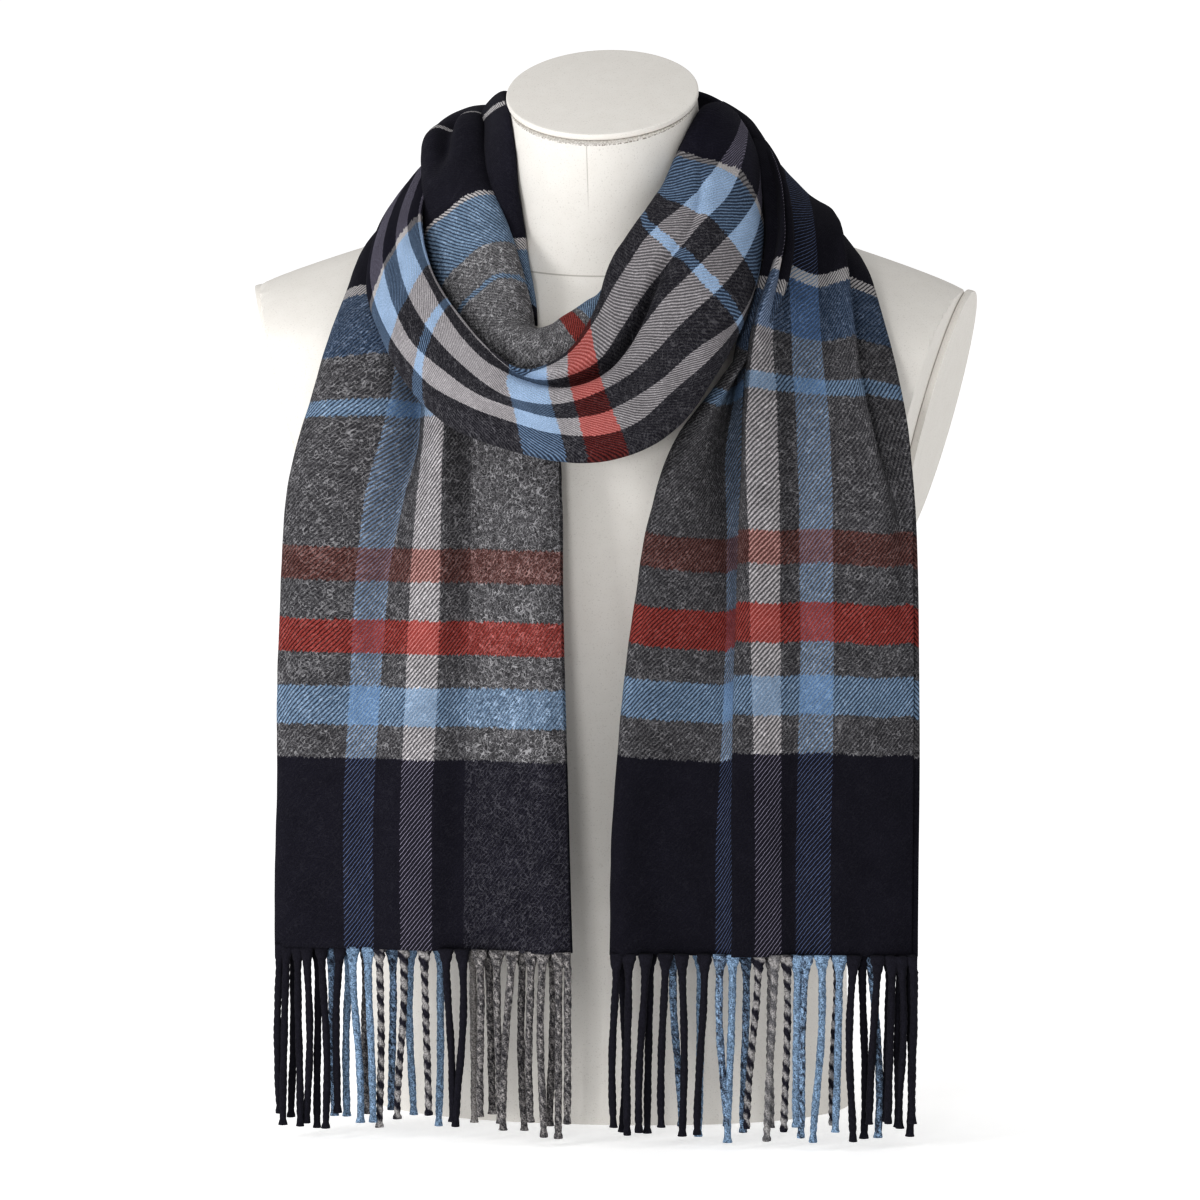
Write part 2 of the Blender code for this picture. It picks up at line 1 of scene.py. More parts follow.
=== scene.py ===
# %% [markdown]
# # A check blanket scarf wound round a dress form
# A blanket scarf is one long width of brushed wool, woven in a check and folded in two. Here
# it hangs over a dress form: one end comes down the left of the chest, the middle goes once
# round the neck, and the other end comes down the right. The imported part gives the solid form
# of every piece. Here each one gets its cloth, yarn or painted cover: thin sheets of woven
# wool laid on the solid's form, a fringe of twisted strands, and a smooth form under them.

from math import atan2, cos, pi, radians, sin, sqrt, tan

import bmesh
import bpy
import numpy as np
from mathutils import Matrix, Vector, noise
from mathutils.bvhtree import BVHTree


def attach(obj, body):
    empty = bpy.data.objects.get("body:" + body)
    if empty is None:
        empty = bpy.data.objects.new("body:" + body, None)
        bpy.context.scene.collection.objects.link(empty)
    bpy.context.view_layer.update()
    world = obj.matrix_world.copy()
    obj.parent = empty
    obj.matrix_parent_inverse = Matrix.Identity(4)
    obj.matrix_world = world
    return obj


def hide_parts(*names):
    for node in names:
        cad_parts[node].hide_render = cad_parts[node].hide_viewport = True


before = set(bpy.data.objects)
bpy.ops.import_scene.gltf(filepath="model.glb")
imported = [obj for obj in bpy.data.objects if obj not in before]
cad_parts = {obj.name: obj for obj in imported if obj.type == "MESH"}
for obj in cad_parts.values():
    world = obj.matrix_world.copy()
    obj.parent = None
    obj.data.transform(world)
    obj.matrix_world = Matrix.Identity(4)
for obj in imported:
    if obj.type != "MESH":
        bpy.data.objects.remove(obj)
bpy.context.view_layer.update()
print("nodes:", ", ".join(sorted(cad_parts)))

# %% [markdown]
# ## The path of the scarf
# A wound scarf could be made by dropping a long strip of cloth on the form and waiting for
# it to settle, but then no fold would lie where it should. So the scarf follows a table of
# sections, like the ribs of a boat: the inner edge, the outer edge and half the depth of the
# folded cloth between them. The same table shapes the solids, so the sheets lie on them. It
# runs from the left end's hem, round the neck, to the right end's hem.

# %% The scarf's path
INNER = slice(0, 3)       # where a section's inner edge stands in its row
OUTER = slice(3, 6)
HALF_DEPTH = 6
LEFT_END = (
    (-0.0050, -0.1570, 0.1260, -0.1997, -0.1450, 0.1260, 0.0060),
    (-0.0080, -0.1530, 0.2200, -0.1990, -0.1380, 0.2200, 0.0060),
    (-0.0110, -0.1480, 0.3000, -0.1990, -0.1320, 0.3000, 0.0060),
    (-0.0130, -0.1430, 0.3700, -0.1970, -0.1240, 0.3750, 0.0060),
    (-0.0140, -0.1400, 0.4200, -0.1940, -0.1180, 0.4250, 0.0058),
    (-0.0165, -0.1360, 0.4520, -0.1890, -0.1160, 0.4500, 0.0055),
    (-0.0360, -0.1290, 0.4920, -0.1800, -0.1110, 0.4800, 0.0050),
    (-0.0660, -0.1080, 0.5260, -0.1710, -0.0980, 0.5140, 0.0042),
    (-0.0860, -0.0740, 0.5570, -0.1640, -0.0620, 0.5450, 0.0036),
    (-0.0960, -0.0220, 0.5850, -0.1590, -0.0160, 0.5705, 0.0033),
    (-0.0960, 0.0300, 0.5978, -0.1500, 0.0300, 0.5835, 0.0033),
)
NAPE_INNER = (
    (-0.0850, 0.0720, 0.6100, -0.1220, 0.0760, 0.5940, 0.0040),
    (-0.0460, 0.0880, 0.6280, -0.0620, 0.1020, 0.5980, 0.0045),
    (0.0000, 0.0900, 0.6400, -0.0020, 0.1120, 0.6040, 0.0050),
    (0.0430, 0.0780, 0.6500, 0.0560, 0.0980, 0.6060, 0.0060),
)
FRONT_LOOP = (
    (0.0720, 0.0420, 0.6600, 0.0920, 0.0520, 0.6100, 0.0075),
    (0.0770, 0.0050, 0.6640, 0.0990, 0.0080, 0.6140, 0.0080),
    (0.0740, -0.0280, 0.6580, 0.1050, -0.0360, 0.5900, 0.0100),
    (0.0630, -0.0550, 0.6400, 0.1070, -0.0860, 0.5580, 0.0130),
    (0.0510, -0.0740, 0.6150, 0.1010, -0.1280, 0.5280, 0.0155),
    (0.0410, -0.0880, 0.5920, 0.0850, -0.1580, 0.4960, 0.0170),
    (0.0300, -0.1020, 0.5660, 0.0670, -0.1720, 0.4710, 0.0180),
    (0.0190, -0.1160, 0.5440, 0.0430, -0.1800, 0.4560, 0.0185),
    (0.0090, -0.1290, 0.5270, 0.0170, -0.1830, 0.4490, 0.0180),
    (-0.0080, -0.1420, 0.5120, -0.0160, -0.1800, 0.4485, 0.0175),
    (-0.0280, -0.1470, 0.5070, -0.0490, -0.1740, 0.4530, 0.0170),
    (-0.0480, -0.1430, 0.5130, -0.0830, -0.1650, 0.4610, 0.0160),
    (-0.0660, -0.1350, 0.5220, -0.1040, -0.1550, 0.4730, 0.0150),
    (-0.0840, -0.1200, 0.5350, -0.1220, -0.1420, 0.4925, 0.0140),
    (-0.1000, -0.0990, 0.5530, -0.1370, -0.1180, 0.5190, 0.0120),
    (-0.1130, -0.0640, 0.5830, -0.1480, -0.0820, 0.5480, 0.0090),
    (-0.1160, -0.0160, 0.6090, -0.1470, -0.0280, 0.5850, 0.0064),
    (-0.1060, 0.0360, 0.6380, -0.1340, 0.0280, 0.6080, 0.0058),
)
NAPE_OUTER = (
    (-0.0880, 0.0760, 0.6580, -0.1200, 0.0760, 0.6180, 0.0066),
    (-0.0540, 0.1040, 0.6670, -0.0840, 0.1240, 0.6060, 0.0080),
    (-0.0150, 0.1140, 0.6700, -0.0330, 0.1420, 0.5960, 0.0080),
    (0.0260, 0.1100, 0.6740, 0.0340, 0.1420, 0.5930, 0.0075),
    (0.0570, 0.0940, 0.6690, 0.0830, 0.1280, 0.5890, 0.0066),
)
RIGHT_END = (
    (0.0780, 0.0740, 0.6580, 0.1160, 0.1020, 0.5870, 0.0054),
    (0.0920, 0.0420, 0.6460, 0.1480, 0.0460, 0.5830, 0.0046),
    (0.1070, 0.0050, 0.6300, 0.1640, 0.0020, 0.5740, 0.0046),
    (0.1180, -0.0350, 0.6060, 0.1780, -0.0400, 0.5590, 0.0052),
    (0.1230, -0.0760, 0.5720, 0.1890, -0.0700, 0.5320, 0.0054),
    (0.1130, -0.1090, 0.5350, 0.2000, -0.0940, 0.4990, 0.0058),
    (0.0880, -0.1270, 0.4950, 0.2085, -0.1100, 0.4610, 0.0062),
    (0.0600, -0.1350, 0.4550, 0.2135, -0.1190, 0.4200, 0.0065),
    (0.0450, -0.1400, 0.4100, 0.2160, -0.1250, 0.3750, 0.0065),
    (0.0350, -0.1440, 0.3500, 0.2175, -0.1320, 0.3150, 0.0065),
    (0.0270, -0.1500, 0.2800, 0.2185, -0.1370, 0.2500, 0.0065),
    (0.0220, -0.1550, 0.2000, 0.2185, -0.1420, 0.1850, 0.0065),
    (0.0210, -0.1580, 0.1260, 0.2185, -0.1460, 0.1260, 0.0065),
)
PATH = LEFT_END + NAPE_INNER + FRONT_LOOP + NAPE_OUTER + RIGHT_END
NAPE_INNER_START = len(LEFT_END)
LOOP_START = NAPE_INNER_START + len(NAPE_INNER)
NAPE_OUTER_START = LOOP_START + len(FRONT_LOOP)
RIGHT_START = NAPE_OUTER_START + len(NAPE_OUTER)
print(len(PATH), "sections in the path")

# %% [markdown]
# ## Smooth curves through a table
# Cloth has no corners where one row of a table meets the next, so every table is read along
# a smooth curve. Straight lines between the rows would show as flats, and a spline through
# far points swings out between them. A cubic whose slope at each row comes from its two
# neighbours stays close to the rows and is smooth.

# %% Curves through tables
def curve_through(table, steps, places):
    """Values of a table on a cubic through its rows, steps being the distance between rows."""
    table = np.asarray(table, dtype=float)
    places = np.asarray(places, dtype=float)
    rates = np.diff(table, axis=0) / steps[:, None]
    slopes = np.empty_like(table)
    slopes[0], slopes[-1] = rates[0], rates[-1]
    before, after = steps[:-1, None], steps[1:, None]
    slopes[1:-1] = (rates[:-1] * after + rates[1:] * before) / (before + after)
    i = np.clip(places.astype(int), 0, len(table) - 2)
    share = (places - i)[:, None]
    run = steps[i][:, None]
    value = (2 * share**3 - 3 * share**2 + 1) * table[i]
    value += (share**3 - 2 * share**2 + share) * run * slopes[i]
    value += (3 * share**2 - 2 * share**3) * table[i + 1]
    value += (share**3 - share**2) * run * slopes[i + 1]
    return value


def smooth_rows(rows, places):
    """Values at places along a table of path sections, on a smooth curve through its rows."""
    table = np.array(rows, dtype=float)
    middles = (table[:, INNER] + table[:, OUTER]) / 2
    steps = np.linalg.norm(np.diff(middles, axis=0), axis=1)
    return curve_through(table, steps, places)


def even_rows(table, places):
    """A smooth curve through rows that count as evenly spaced."""
    return curve_through(table, np.ones(len(table) - 1), places)


print("between two rows of the left end:", smooth_rows(LEFT_END, [5.5]).round(3).tolist())

# %% Sections between the rows
HEADING_STEP = 0.05       # how many rows ahead and behind tell which way the path runs


def unit(vectors):
    """Vectors of length one."""
    return vectors / np.linalg.norm(vectors, axis=-1, keepdims=True)


def section_frames(rows, places):
    """Middle, half reach, outward direction and half depth of the sections at some places."""
    last = len(rows) - 1.0
    values = smooth_rows(rows, places)
    ahead = smooth_rows(rows, np.minimum(np.asarray(places) + HEADING_STEP, last))
    behind = smooth_rows(rows, np.maximum(np.asarray(places) - HEADING_STEP, 0.0))
    run = ahead - behind
    forward = unit(run[:, INNER] + run[:, OUTER])
    middle = (values[:, INNER] + values[:, OUTER]) / 2
    reach = (values[:, OUTER] - values[:, INNER]) / 2
    outward = unit(np.cross(forward, reach))
    return middle, reach, outward, values[:, HALF_DEPTH]


print("half a section's width at the loop's lowest:",
      np.linalg.norm(section_frames(PATH, [LOOP_START + 8.0])[1], axis=1).round(4).tolist())

# %% [markdown]
# ## Sheets of cloth
# Each stretch of cloth is a thin sheet. A thick block would look like felt, and a sheet with
# no thickness at all has no edge. So a flat grid from Blender's own operator is bent to the
# points worked out for it, and a Solidify modifier gives it the cloth's thickness. Its UV map
# holds the place of every thread in metres, so that stripes and bands follow the cloth round
# each fold. Where most sheets would sink into the form, their points are pushed back out; the
# loop and the outer stretch behind the neck are left as laid.

# %% A sheet of cloth over a grid of points
CLOTH = 0.0018            # thickness of the wool


def add_object(name, data):
    """Put a mesh, a lamp or a camera in the scene as an object."""
    thing = bpy.data.objects.new(name, data)
    bpy.context.scene.collection.objects.link(thing)
    return thing


def grid_normals(points):
    """Normals of a grid of points, across the columns and then along the rows."""
    across = np.gradient(points, axis=1)
    along = np.gradient(points, axis=0)
    return unit(np.cross(across, along) + 1e-12)


def cloth_sheet(name, points, weave, outward):
    """A sheet of cloth whose face looks outward, with its weave's place in metres as UV."""
    if np.sum(grid_normals(points) * outward) < 0:
        points, weave = points[:, ::-1], weave[:, ::-1]
    rows, columns = points.shape[:2]
    bm = bmesh.new()
    bmesh.ops.create_grid(bm, x_segments=columns - 1, y_segments=rows - 1, size=0.5)
    mesh = bpy.data.meshes.new(name)
    bm.to_mesh(mesh)
    bm.free()
    mesh.vertices.foreach_set("co", points.reshape(-1))
    corners = np.empty(len(mesh.loops), dtype=int)
    mesh.loops.foreach_get("vertex_index", corners)
    layer = mesh.uv_layers.new(name="weave")
    layer.data.foreach_set("uv", weave.reshape(-1, 2)[corners].reshape(-1))
    mesh.shade_smooth()
    mesh.update()
    sheet = add_object(name, mesh)
    solid = sheet.modifiers.new("cloth thickness", "SOLIDIFY")
    solid.thickness = CLOTH
    solid.offset = 0.0
    print(f"{name}: {columns} x {rows} points")
    return sheet


print("cloth", CLOTH * 1000, "mm thick")

# %% Crumple a sheet, and keep it off the form
CLEAR = 0.0016            # from the form to the middle of the cloth on it
DEEPEST = 0.03            # how far inside the form a point is still found
BROAD = {"size": 0.040, "stretch": 2.4}      # the two kinds of ripple in soft cloth
FINE = {"size": 0.011, "stretch": 1.6}
FINE_SEED = 9             # added to a sheet's seed for its fine ripples


def ripples(weave, depth, seed, size, stretch):
    """Soft unevenness over a grid, fixed to the cloth; stretch lengthens it along the cloth."""
    height = np.empty(weave.shape[:2])
    for i, row in enumerate(weave):
        for j, (u, v) in enumerate(row):
            height[i, j] = noise.noise(Vector((u / size, v / size / stretch, seed)))
    return height * depth


def crumple(points, weave, outward, seed, soft, fine):
    """Give a laid sheet the unevenness of soft cloth: broad ripples and fine ones."""
    normals = grid_normals(points)
    if np.sum(normals * outward) < 0:
        normals = -normals
    height = ripples(weave, soft, seed, **BROAD)
    height = height + ripples(weave, fine, seed + FINE_SEED, **FINE)
    return points + normals * height[..., None]


def keep_off(points, tree, gap):
    """Move points that are inside a closed form, or too close to it, out to a gap from it."""
    moved = points.reshape(-1, 3).copy()
    for i, point in enumerate(moved):
        near, normal, _, distance = tree.find_nearest(Vector(point), gap + DEEPEST)
        if near is None:
            continue
        height = (Vector(point) - near).dot(normal)
        if height < 0:
            moved[i] = near + normal * gap
        elif distance < gap:
            moved[i] = near + (Vector(point) - near).normalized() * gap
    return moved.reshape(points.shape)


print("cloth lies", CLEAR * 1000, "mm off the form")

# %% [markdown]
# ## The dress form
# The form is a limbless torso with a neck, moulded in one shell and covered in pale cloth.
# It could be sculpted, or grown from a box under a Subdivision modifier, but its outline has
# to be right at known heights. So a closed cylinder is cut into rings, like the hoops of a
# barrel, and each ring is bent to its own section. The sections come from the same table as
# the solid's, with more points round them, so the skin has no flats. Where the arm plates
# sit, the rings are cut off straight.

# %% Sections of the dress form
NECK_TILT = 24.0          # degrees that the neck's sections lean forward
PLATE_WIDTH = 0.122       # an arm plate's size, and where its centre is
PLATE_HEIGHT = 0.172
PLATE_THICKNESS = 0.0045
PLATE_CENTRE = (0.2190, 0.040, 0.460)
PLATE_TURN = 0.11         # how much farther out the plate is for each metre back
PLATE_LEAN = 0.27         # and for each metre up
PLATE_FLAT = 0.115        # how far below its centre the plate goes on leaning
SEAM_GAP = 0.0003         # between a plate and the body
PLATE_SEAT = (PLATE_THICKNESS + SEAM_GAP) * sqrt(1 + PLATE_TURN**2 + PLATE_LEAN**2)
FORM_SECTIONS = (     # height, centre y, half width, half depth, squareness, tilt in degrees
    (0.0000, 0.0150, 0.1640, 0.1000, 2.20, 0.0),
    (0.0900, 0.0150, 0.1600, 0.0990, 2.20, 0.0),
    (0.1900, 0.0080, 0.1660, 0.1010, 2.15, 0.0),
    (0.2900, 0.0030, 0.1860, 0.1060, 2.10, 0.0),
    (0.3700, 0.0000, 0.2110, 0.1100, 2.10, 0.0),
    (0.4400, 0.0000, 0.2400, 0.1130, 2.10, 0.0),
    (0.4900, 0.0030, 0.2560, 0.1120, 2.10, 2.0),
    (0.5250, 0.0080, 0.2580, 0.1060, 2.05, 4.0),
    (0.5450, 0.0150, 0.2340, 0.0970, 1.95, 6.0),
    (0.5576, 0.0150, 0.2000, 0.0880, 1.90, 9.0),
    (0.5658, 0.0130, 0.1720, 0.0810, 1.90, 12.0),
    (0.5750, 0.0100, 0.1370, 0.0750, 1.95, 16.0),
    (0.5870, 0.0060, 0.1020, 0.0705, 2.00, 20.0),
    (0.6000, 0.0030, 0.0780, 0.0685, 2.00, 23.0),
    (0.6160, -0.0020, 0.0680, 0.0655, 2.00, NECK_TILT),
    (0.6450, -0.0115, 0.0640, 0.0635, 2.00, NECK_TILT),
    (0.6720, -0.0205, 0.0620, 0.0620, 2.00, NECK_TILT),
)
print(len(FORM_SECTIONS), "sections up the form")

# %% Rings of the form
FORM_SIDES = 160
FORM_RINGS = 96
RIM_ANGLE = 40            # degrees between two faces from which an edge stays sharp


def rounded(value, square):
    """A cosine or sine turned into that of a superellipse with this exponent."""
    return np.sign(value) * np.abs(value) ** (2 / square)


def form_ring(row):
    """Points round one section of the form, cut flat where the arm plates sit."""
    z, centre_y, half_width, half_depth, square, tilt = row
    angles = np.linspace(0, 2 * pi, FORM_SIDES, endpoint=False)
    x = half_width * rounded(np.cos(angles), square)
    y = half_depth * rounded(np.sin(angles), square)
    z = z + y * tan(radians(tilt))
    y = y + centre_y
    height = np.maximum(z - PLATE_CENTRE[2], -PLATE_FLAT)
    limit = PLATE_CENTRE[0] + PLATE_TURN * (y - PLATE_CENTRE[1]) + PLATE_LEAN * height
    limit = limit - PLATE_SEAT
    return np.stack((np.clip(x, -limit, limit), y, z), axis=1)


print("half a ring's width at the shoulders:", form_ring(FORM_SECTIONS[7])[:, 0].max().round(4))


# %% The form's skin
def smooth_object(name, bm):
    """Turn a closed bmesh into an object that is smooth but for its sharp rims."""
    bm.normal_update()
    bmesh.ops.recalc_face_normals(bm, faces=bm.faces[:])
    mesh = bpy.data.meshes.new(name)
    bm.to_mesh(mesh)
    bm.free()
    mesh.shade_smooth()
    mesh.set_sharp_from_angle(angle=radians(RIM_ANGLE))
    return add_object(name, mesh)


def build_form_body():
    """Torso and neck: a closed cylinder cut into rings, each bent to its section."""
    table = np.array(FORM_SECTIONS)
    places = np.linspace(0, len(table) - 1, FORM_RINGS)
    rings = [form_ring(row) for row in curve_through(table, np.diff(table[:, 0]), places)]
    rings[0][:, 2] = 0.0
    bm = bmesh.new()
    bmesh.ops.create_cone(bm, cap_ends=True, segments=FORM_SIDES, radius1=1.0, radius2=1.0,
                          depth=1.0)
    uprights = [e for e in bm.edges if abs(e.verts[0].co.z - e.verts[1].co.z) > 0.5]
    bmesh.ops.subdivide_edges(bm, edges=uprights, cuts=FORM_RINGS - 2, use_grid_fill=True)
    for vert in bm.verts:
        ring = round((vert.co.z + 0.5) * (FORM_RINGS - 1))
        # The turn's sense sets which way the diagonals of the quads run.
        turn = atan2(-vert.co.y, vert.co.x)
        vert.co = rings[ring][round(turn / (2 * pi) * FORM_SIDES) % FORM_SIDES]
    return smooth_object("form_skin", bm)


form_skin = build_form_body()
form_tree = BVHTree.FromObject(form_skin, bpy.context.evaluated_depsgraph_get())
print("form skin:", len(form_skin.data.vertices), "points")

# %% [markdown]
# ## Cap and arm plates
# Thin plates close the neck and the armholes: a round one that leans with the neck, and an
# oval one at each shoulder. An oval could be drawn as its own outline, but a flat cylinder
# with its rims bevelled round and then stretched gives the same plate in fewer steps.

# %% A round plate, and the cap on the neck
CAP_RADIUS = 0.0632
CAP_THICKNESS = 0.0045
CAP_EDGE = 0.0012         # how far the rim is rounded


def rounded_disc(radius, thickness, edge):
    """A disc on the ground plane with its outer edges rounded off."""
    bm = bmesh.new()
    bmesh.ops.create_cone(bm, cap_ends=True, segments=128, radius1=radius,
                          radius2=radius, depth=thickness)
    rims = [e for e in bm.edges if abs(e.verts[0].co.z - e.verts[1].co.z) < 1e-6]
    bmesh.ops.bevel(bm, geom=rims, offset=edge, segments=4, profile=0.5,
                    affect="EDGES", material=-1)
    bmesh.ops.translate(bm, vec=(0, 0, thickness / 2), verts=bm.verts[:])
    return bm


def build_neck_cap():
    """The round plate that closes the neck, square to the neck's lean."""
    z, centre_y = FORM_SECTIONS[-1][0:2]
    bm = rounded_disc(CAP_RADIUS, CAP_THICKNESS, CAP_EDGE)
    bmesh.ops.translate(bm, vec=(0, 0, SEAM_GAP), verts=bm.verts[:])
    bmesh.ops.rotate(bm, cent=(0, 0, 0), verts=bm.verts[:],
                     matrix=Matrix.Rotation(radians(NECK_TILT), 3, "X"))
    bmesh.ops.translate(bm, vec=(0, centre_y, z), verts=bm.verts[:])
    return smooth_object("neck_cap", bm)


neck_cap = build_neck_cap()
print("cap top:", round(max(vert.co.z for vert in neck_cap.data.vertices), 4), "m")

# %% Arm plates
PLATE_EDGE = 0.0015       # how far a plate's rim is rounded


def build_arm_plate(name, side):
    """The oval plate that closes an armhole; side is 1 on the right, -1 on the left."""
    bm = rounded_disc(0.5, PLATE_THICKNESS, PLATE_EDGE)
    outward = Vector((1.0, -PLATE_TURN, -PLATE_LEAN)).normalized()
    back = Vector((PLATE_TURN, 1.0, 0.0)).normalized()
    up = outward.cross(back)
    centre = Vector(PLATE_CENTRE)
    for vert in bm.verts:
        x, y, z = vert.co
        place = centre + back * PLATE_WIDTH * x + up * PLATE_HEIGHT * y
        place += outward * (z - PLATE_THICKNESS)
        vert.co = (side * place.x, place.y, place.z)
    return smooth_object(name, bm)


arm_plate_right = build_arm_plate("arm_plate_right", 1)
arm_plate_left = build_arm_plate("arm_plate_left", -1)
print("arm plates reach", round(max(v.co.x for v in arm_plate_right.data.vertices), 4), "m out")

# %% [markdown]
# ## The hanging ends
# Each end is one cloth folded double, so it is a single sheet that runs across the front
# layer, round the fold and back across the rear layer. A cloth simulation would fold it by
# chance; these folds are placed one by one instead. The cloth has lines drawn along it, mostly
# the edges of its stripes. For each section of the path one table says how far across each
# line lies, and another how far out it stands. Between them the cloth runs in soft curves.

# %% Tables of the left end
LEFT_LINES = {            # lines along the cloth, in metres from the fold
    "arc": 0.009, "A": 0.0455, "B": 0.0655, "C": 0.0843, "D": 0.1043, "E": 0.125,
    "F": 0.160, "G": 0.184, "edge": 0.195,
}
LEFT_ACROSS = (     # from -1 at the section's inner edge to 1 at its outer edge, A onwards
    (0.535, 0.336, 0.146, -0.060, -0.266, -0.620, -0.881, -1.000),
    (0.539, 0.336, 0.142, -0.068, -0.279, -0.640, -0.887, -1.000),
    (0.492, 0.285, 0.092, -0.123, -0.316, -0.661, -0.892, -0.998),
    (0.469, 0.246, 0.069, -0.143, -0.330, -0.662, -0.894, -1.000),
    (0.427, 0.165, 0.047, -0.145, -0.322, -0.646, -0.889, -1.000),
    (0.375, 0.114, 0.037, -0.144, -0.317, -0.640, -0.887, -1.000),
    (0.265, 0.053, -0.053, -0.243, -0.418, -0.714, -0.910, -1.000),
    (0.113, -0.039, -0.216, -0.418, -0.570, -0.773, -0.929, -1.000),
    (0.164, -0.010, -0.183, -0.390, -0.546, -0.754, -0.923, -1.000),
    (0.236, 0.043, -0.150, -0.365, -0.536, -0.751, -0.922, -1.000),
    (0.398, 0.198, -0.002, -0.201, -0.401, -0.676, -0.898, -1.000),
)
LEFT_DEPTH = (      # millimetres out from the middle of the folded cloth, A onwards
    (6.5, 5.5, 7.0, 6.0, -1.5, 3.5, 7.0, 1.5),
    (6.5, 5.0, 7.0, 6.5, -2.5, 3.5, 7.0, 1.5),
    (7.0, 3.0, 6.5, 7.5, -3.0, 3.5, 7.0, 1.5),
    (7.0, -4.0, 4.5, 9.0, -4.5, 4.0, 7.0, 1.5),
    (6.5, -12.0, 1.0, 10.0, -6.0, 4.5, 6.5, 1.5),
    (6.5, -17.0, -2.0, 10.0, -7.0, 4.0, 6.0, 1.0),
    (6.0, -15.0, -2.0, 8.0, -6.0, 3.5, 5.0, 1.0),
    (5.0, -7.0, 3.0, 5.0, -2.0, 3.0, 4.0, 1.0),
    (3.0, 0.0, 3.0, 3.0, 1.0, 2.0, 2.0, 0.5),
    (3.0, 0.0, 3.0, 3.0, 1.0, 2.0, 2.0, 0.5),
    (3.0, 0.0, 3.0, 3.0, 1.0, 2.0, 2.0, 0.5),
)
print(len(LEFT_LINES), "lines along the left end")

# %% Tables of the right end
RIGHT_LINES = {
    "arc": 0.009, "M": 0.034, "P": 0.068, "q": 0.0792, "Q": 0.084, "R": 0.0905, "S": 0.105,
    "T": 0.1215, "U": 0.133, "V": 0.1542, "X": 0.190, "Y": 0.197, "edge": 0.208,
}
RIGHT_ACROSS = (
    (-0.877, -0.744, -0.643, -0.543, -0.543, -0.443, -0.242, 0.092, 0.527, 0.794, 0.761, 0.995),
    (-0.960, -0.910, -0.870, -0.830, -0.857, -0.759, -0.591, -0.305, 0.241, 0.645, 0.574, 1.000),
    (-1.200, -1.140, -1.080, -1.030, -1.035, -1.010, -0.889, -0.562, 0.046, 0.443, 0.349, 1.000),
    (-1.230, -1.170, -1.120, -1.075, -1.080, -1.070, -1.020, -0.780, -0.107, 0.267, 0.135, 0.994),
    (-1.240, -1.180, -1.130, -1.090, -1.095, -1.085, -1.060, -0.804, -0.187, 0.224, 0.107, 1.000),
    (-1.180, -1.140, -1.100, -1.036, -1.070, -1.060, -0.889, -0.537, -0.067, 0.344, 0.241, 1.000),
    (-0.894, -0.809, -0.745, -0.661, -0.735, -0.714, -0.438, -0.200, 0.149, 0.568, 0.504, 1.000),
    (-0.744, -0.577, -0.469, -0.394, -0.436, -0.415, -0.165, 0.014, 0.293, 0.739, 0.800, 0.980),
    (-0.694, -0.432, -0.350, -0.305, -0.331, -0.272, -0.057, 0.100, 0.347, 0.766, 0.880, 0.960),
    (-0.669, -0.360, -0.296, -0.261, -0.282, -0.187, 0.005, 0.157, 0.385, 0.752, 0.870, 0.958),
    (-0.661, -0.326, -0.246, -0.219, -0.239, -0.118, 0.053, 0.177, 0.405, 0.747, 0.860, 0.958),
    (-0.666, -0.326, -0.228, -0.195, -0.215, -0.071, 0.090, 0.191, 0.413, 0.747, 0.856, 0.958),
    (-0.667, -0.315, -0.217, -0.191, -0.204, -0.061, 0.100, 0.200, 0.421, 0.754, 0.858, 0.958),
)
RIGHT_DEPTH = (
    (0.0, 0.0, 0.0, 0.0, 2.0, 2.0, 2.0, 2.0, 2.5, 3.5, 0.5, 0.0),
    (0.0, 0.0, -0.5, -1.0, 2.0, 3.0, 2.0, 0.5, 1.0, 5.0, 0.0, 0.0),
    (-4.0, -2.5, -2.0, -2.5, 2.0, 4.0, 1.5, -2.5, -2.5, 6.0, -1.5, -1.0),
    (-6.0, -4.0, -3.0, -4.0, 3.0, 6.0, 2.0, -5.0, -6.0, 7.0, -2.0, -1.0),
    (-6.0, -5.0, -4.0, -5.0, 4.0, 7.5, 3.0, -7.0, -9.0, 8.5, -2.0, -1.0),
    (-5.0, -10.0, -13.0, -13.5, 5.0, 10.0, 4.0, -8.0, -10.0, 9.0, -2.0, -1.0),
    (-3.0, -15.0, -19.0, -19.5, 5.0, 11.0, 4.0, -7.0, -8.0, 9.0, -2.0, -1.0),
    (0.0, -14.0, -18.0, -18.0, 5.0, 10.5, 5.0, -4.5, -4.5, 8.0, -1.0, -1.0),
    (1.0, -10.0, -13.0, -13.0, 5.5, 9.5, 5.0, -1.5, -1.0, 6.0, 0.0, -1.5),
    (0.0, -5.5, -6.5, -6.5, 5.5, 9.0, 5.0, 0.5, 2.0, 3.5, 1.0, -1.5),
    (-1.0, -2.5, -0.5, 1.0, 6.0, 8.0, 4.5, 1.0, 3.0, 2.0, 0.5, -2.0),
    (-1.5, -0.5, 3.5, 5.0, 6.5, 7.0, 4.0, 1.0, 2.5, 1.0, 0.0, -2.5),
    (-1.5, 0.5, 4.0, 5.5, 7.0, 6.5, 3.5, 1.0, 2.0, 0.5, -0.5, -3.0),
)
print(len(RIGHT_LINES), "lines along the right end")

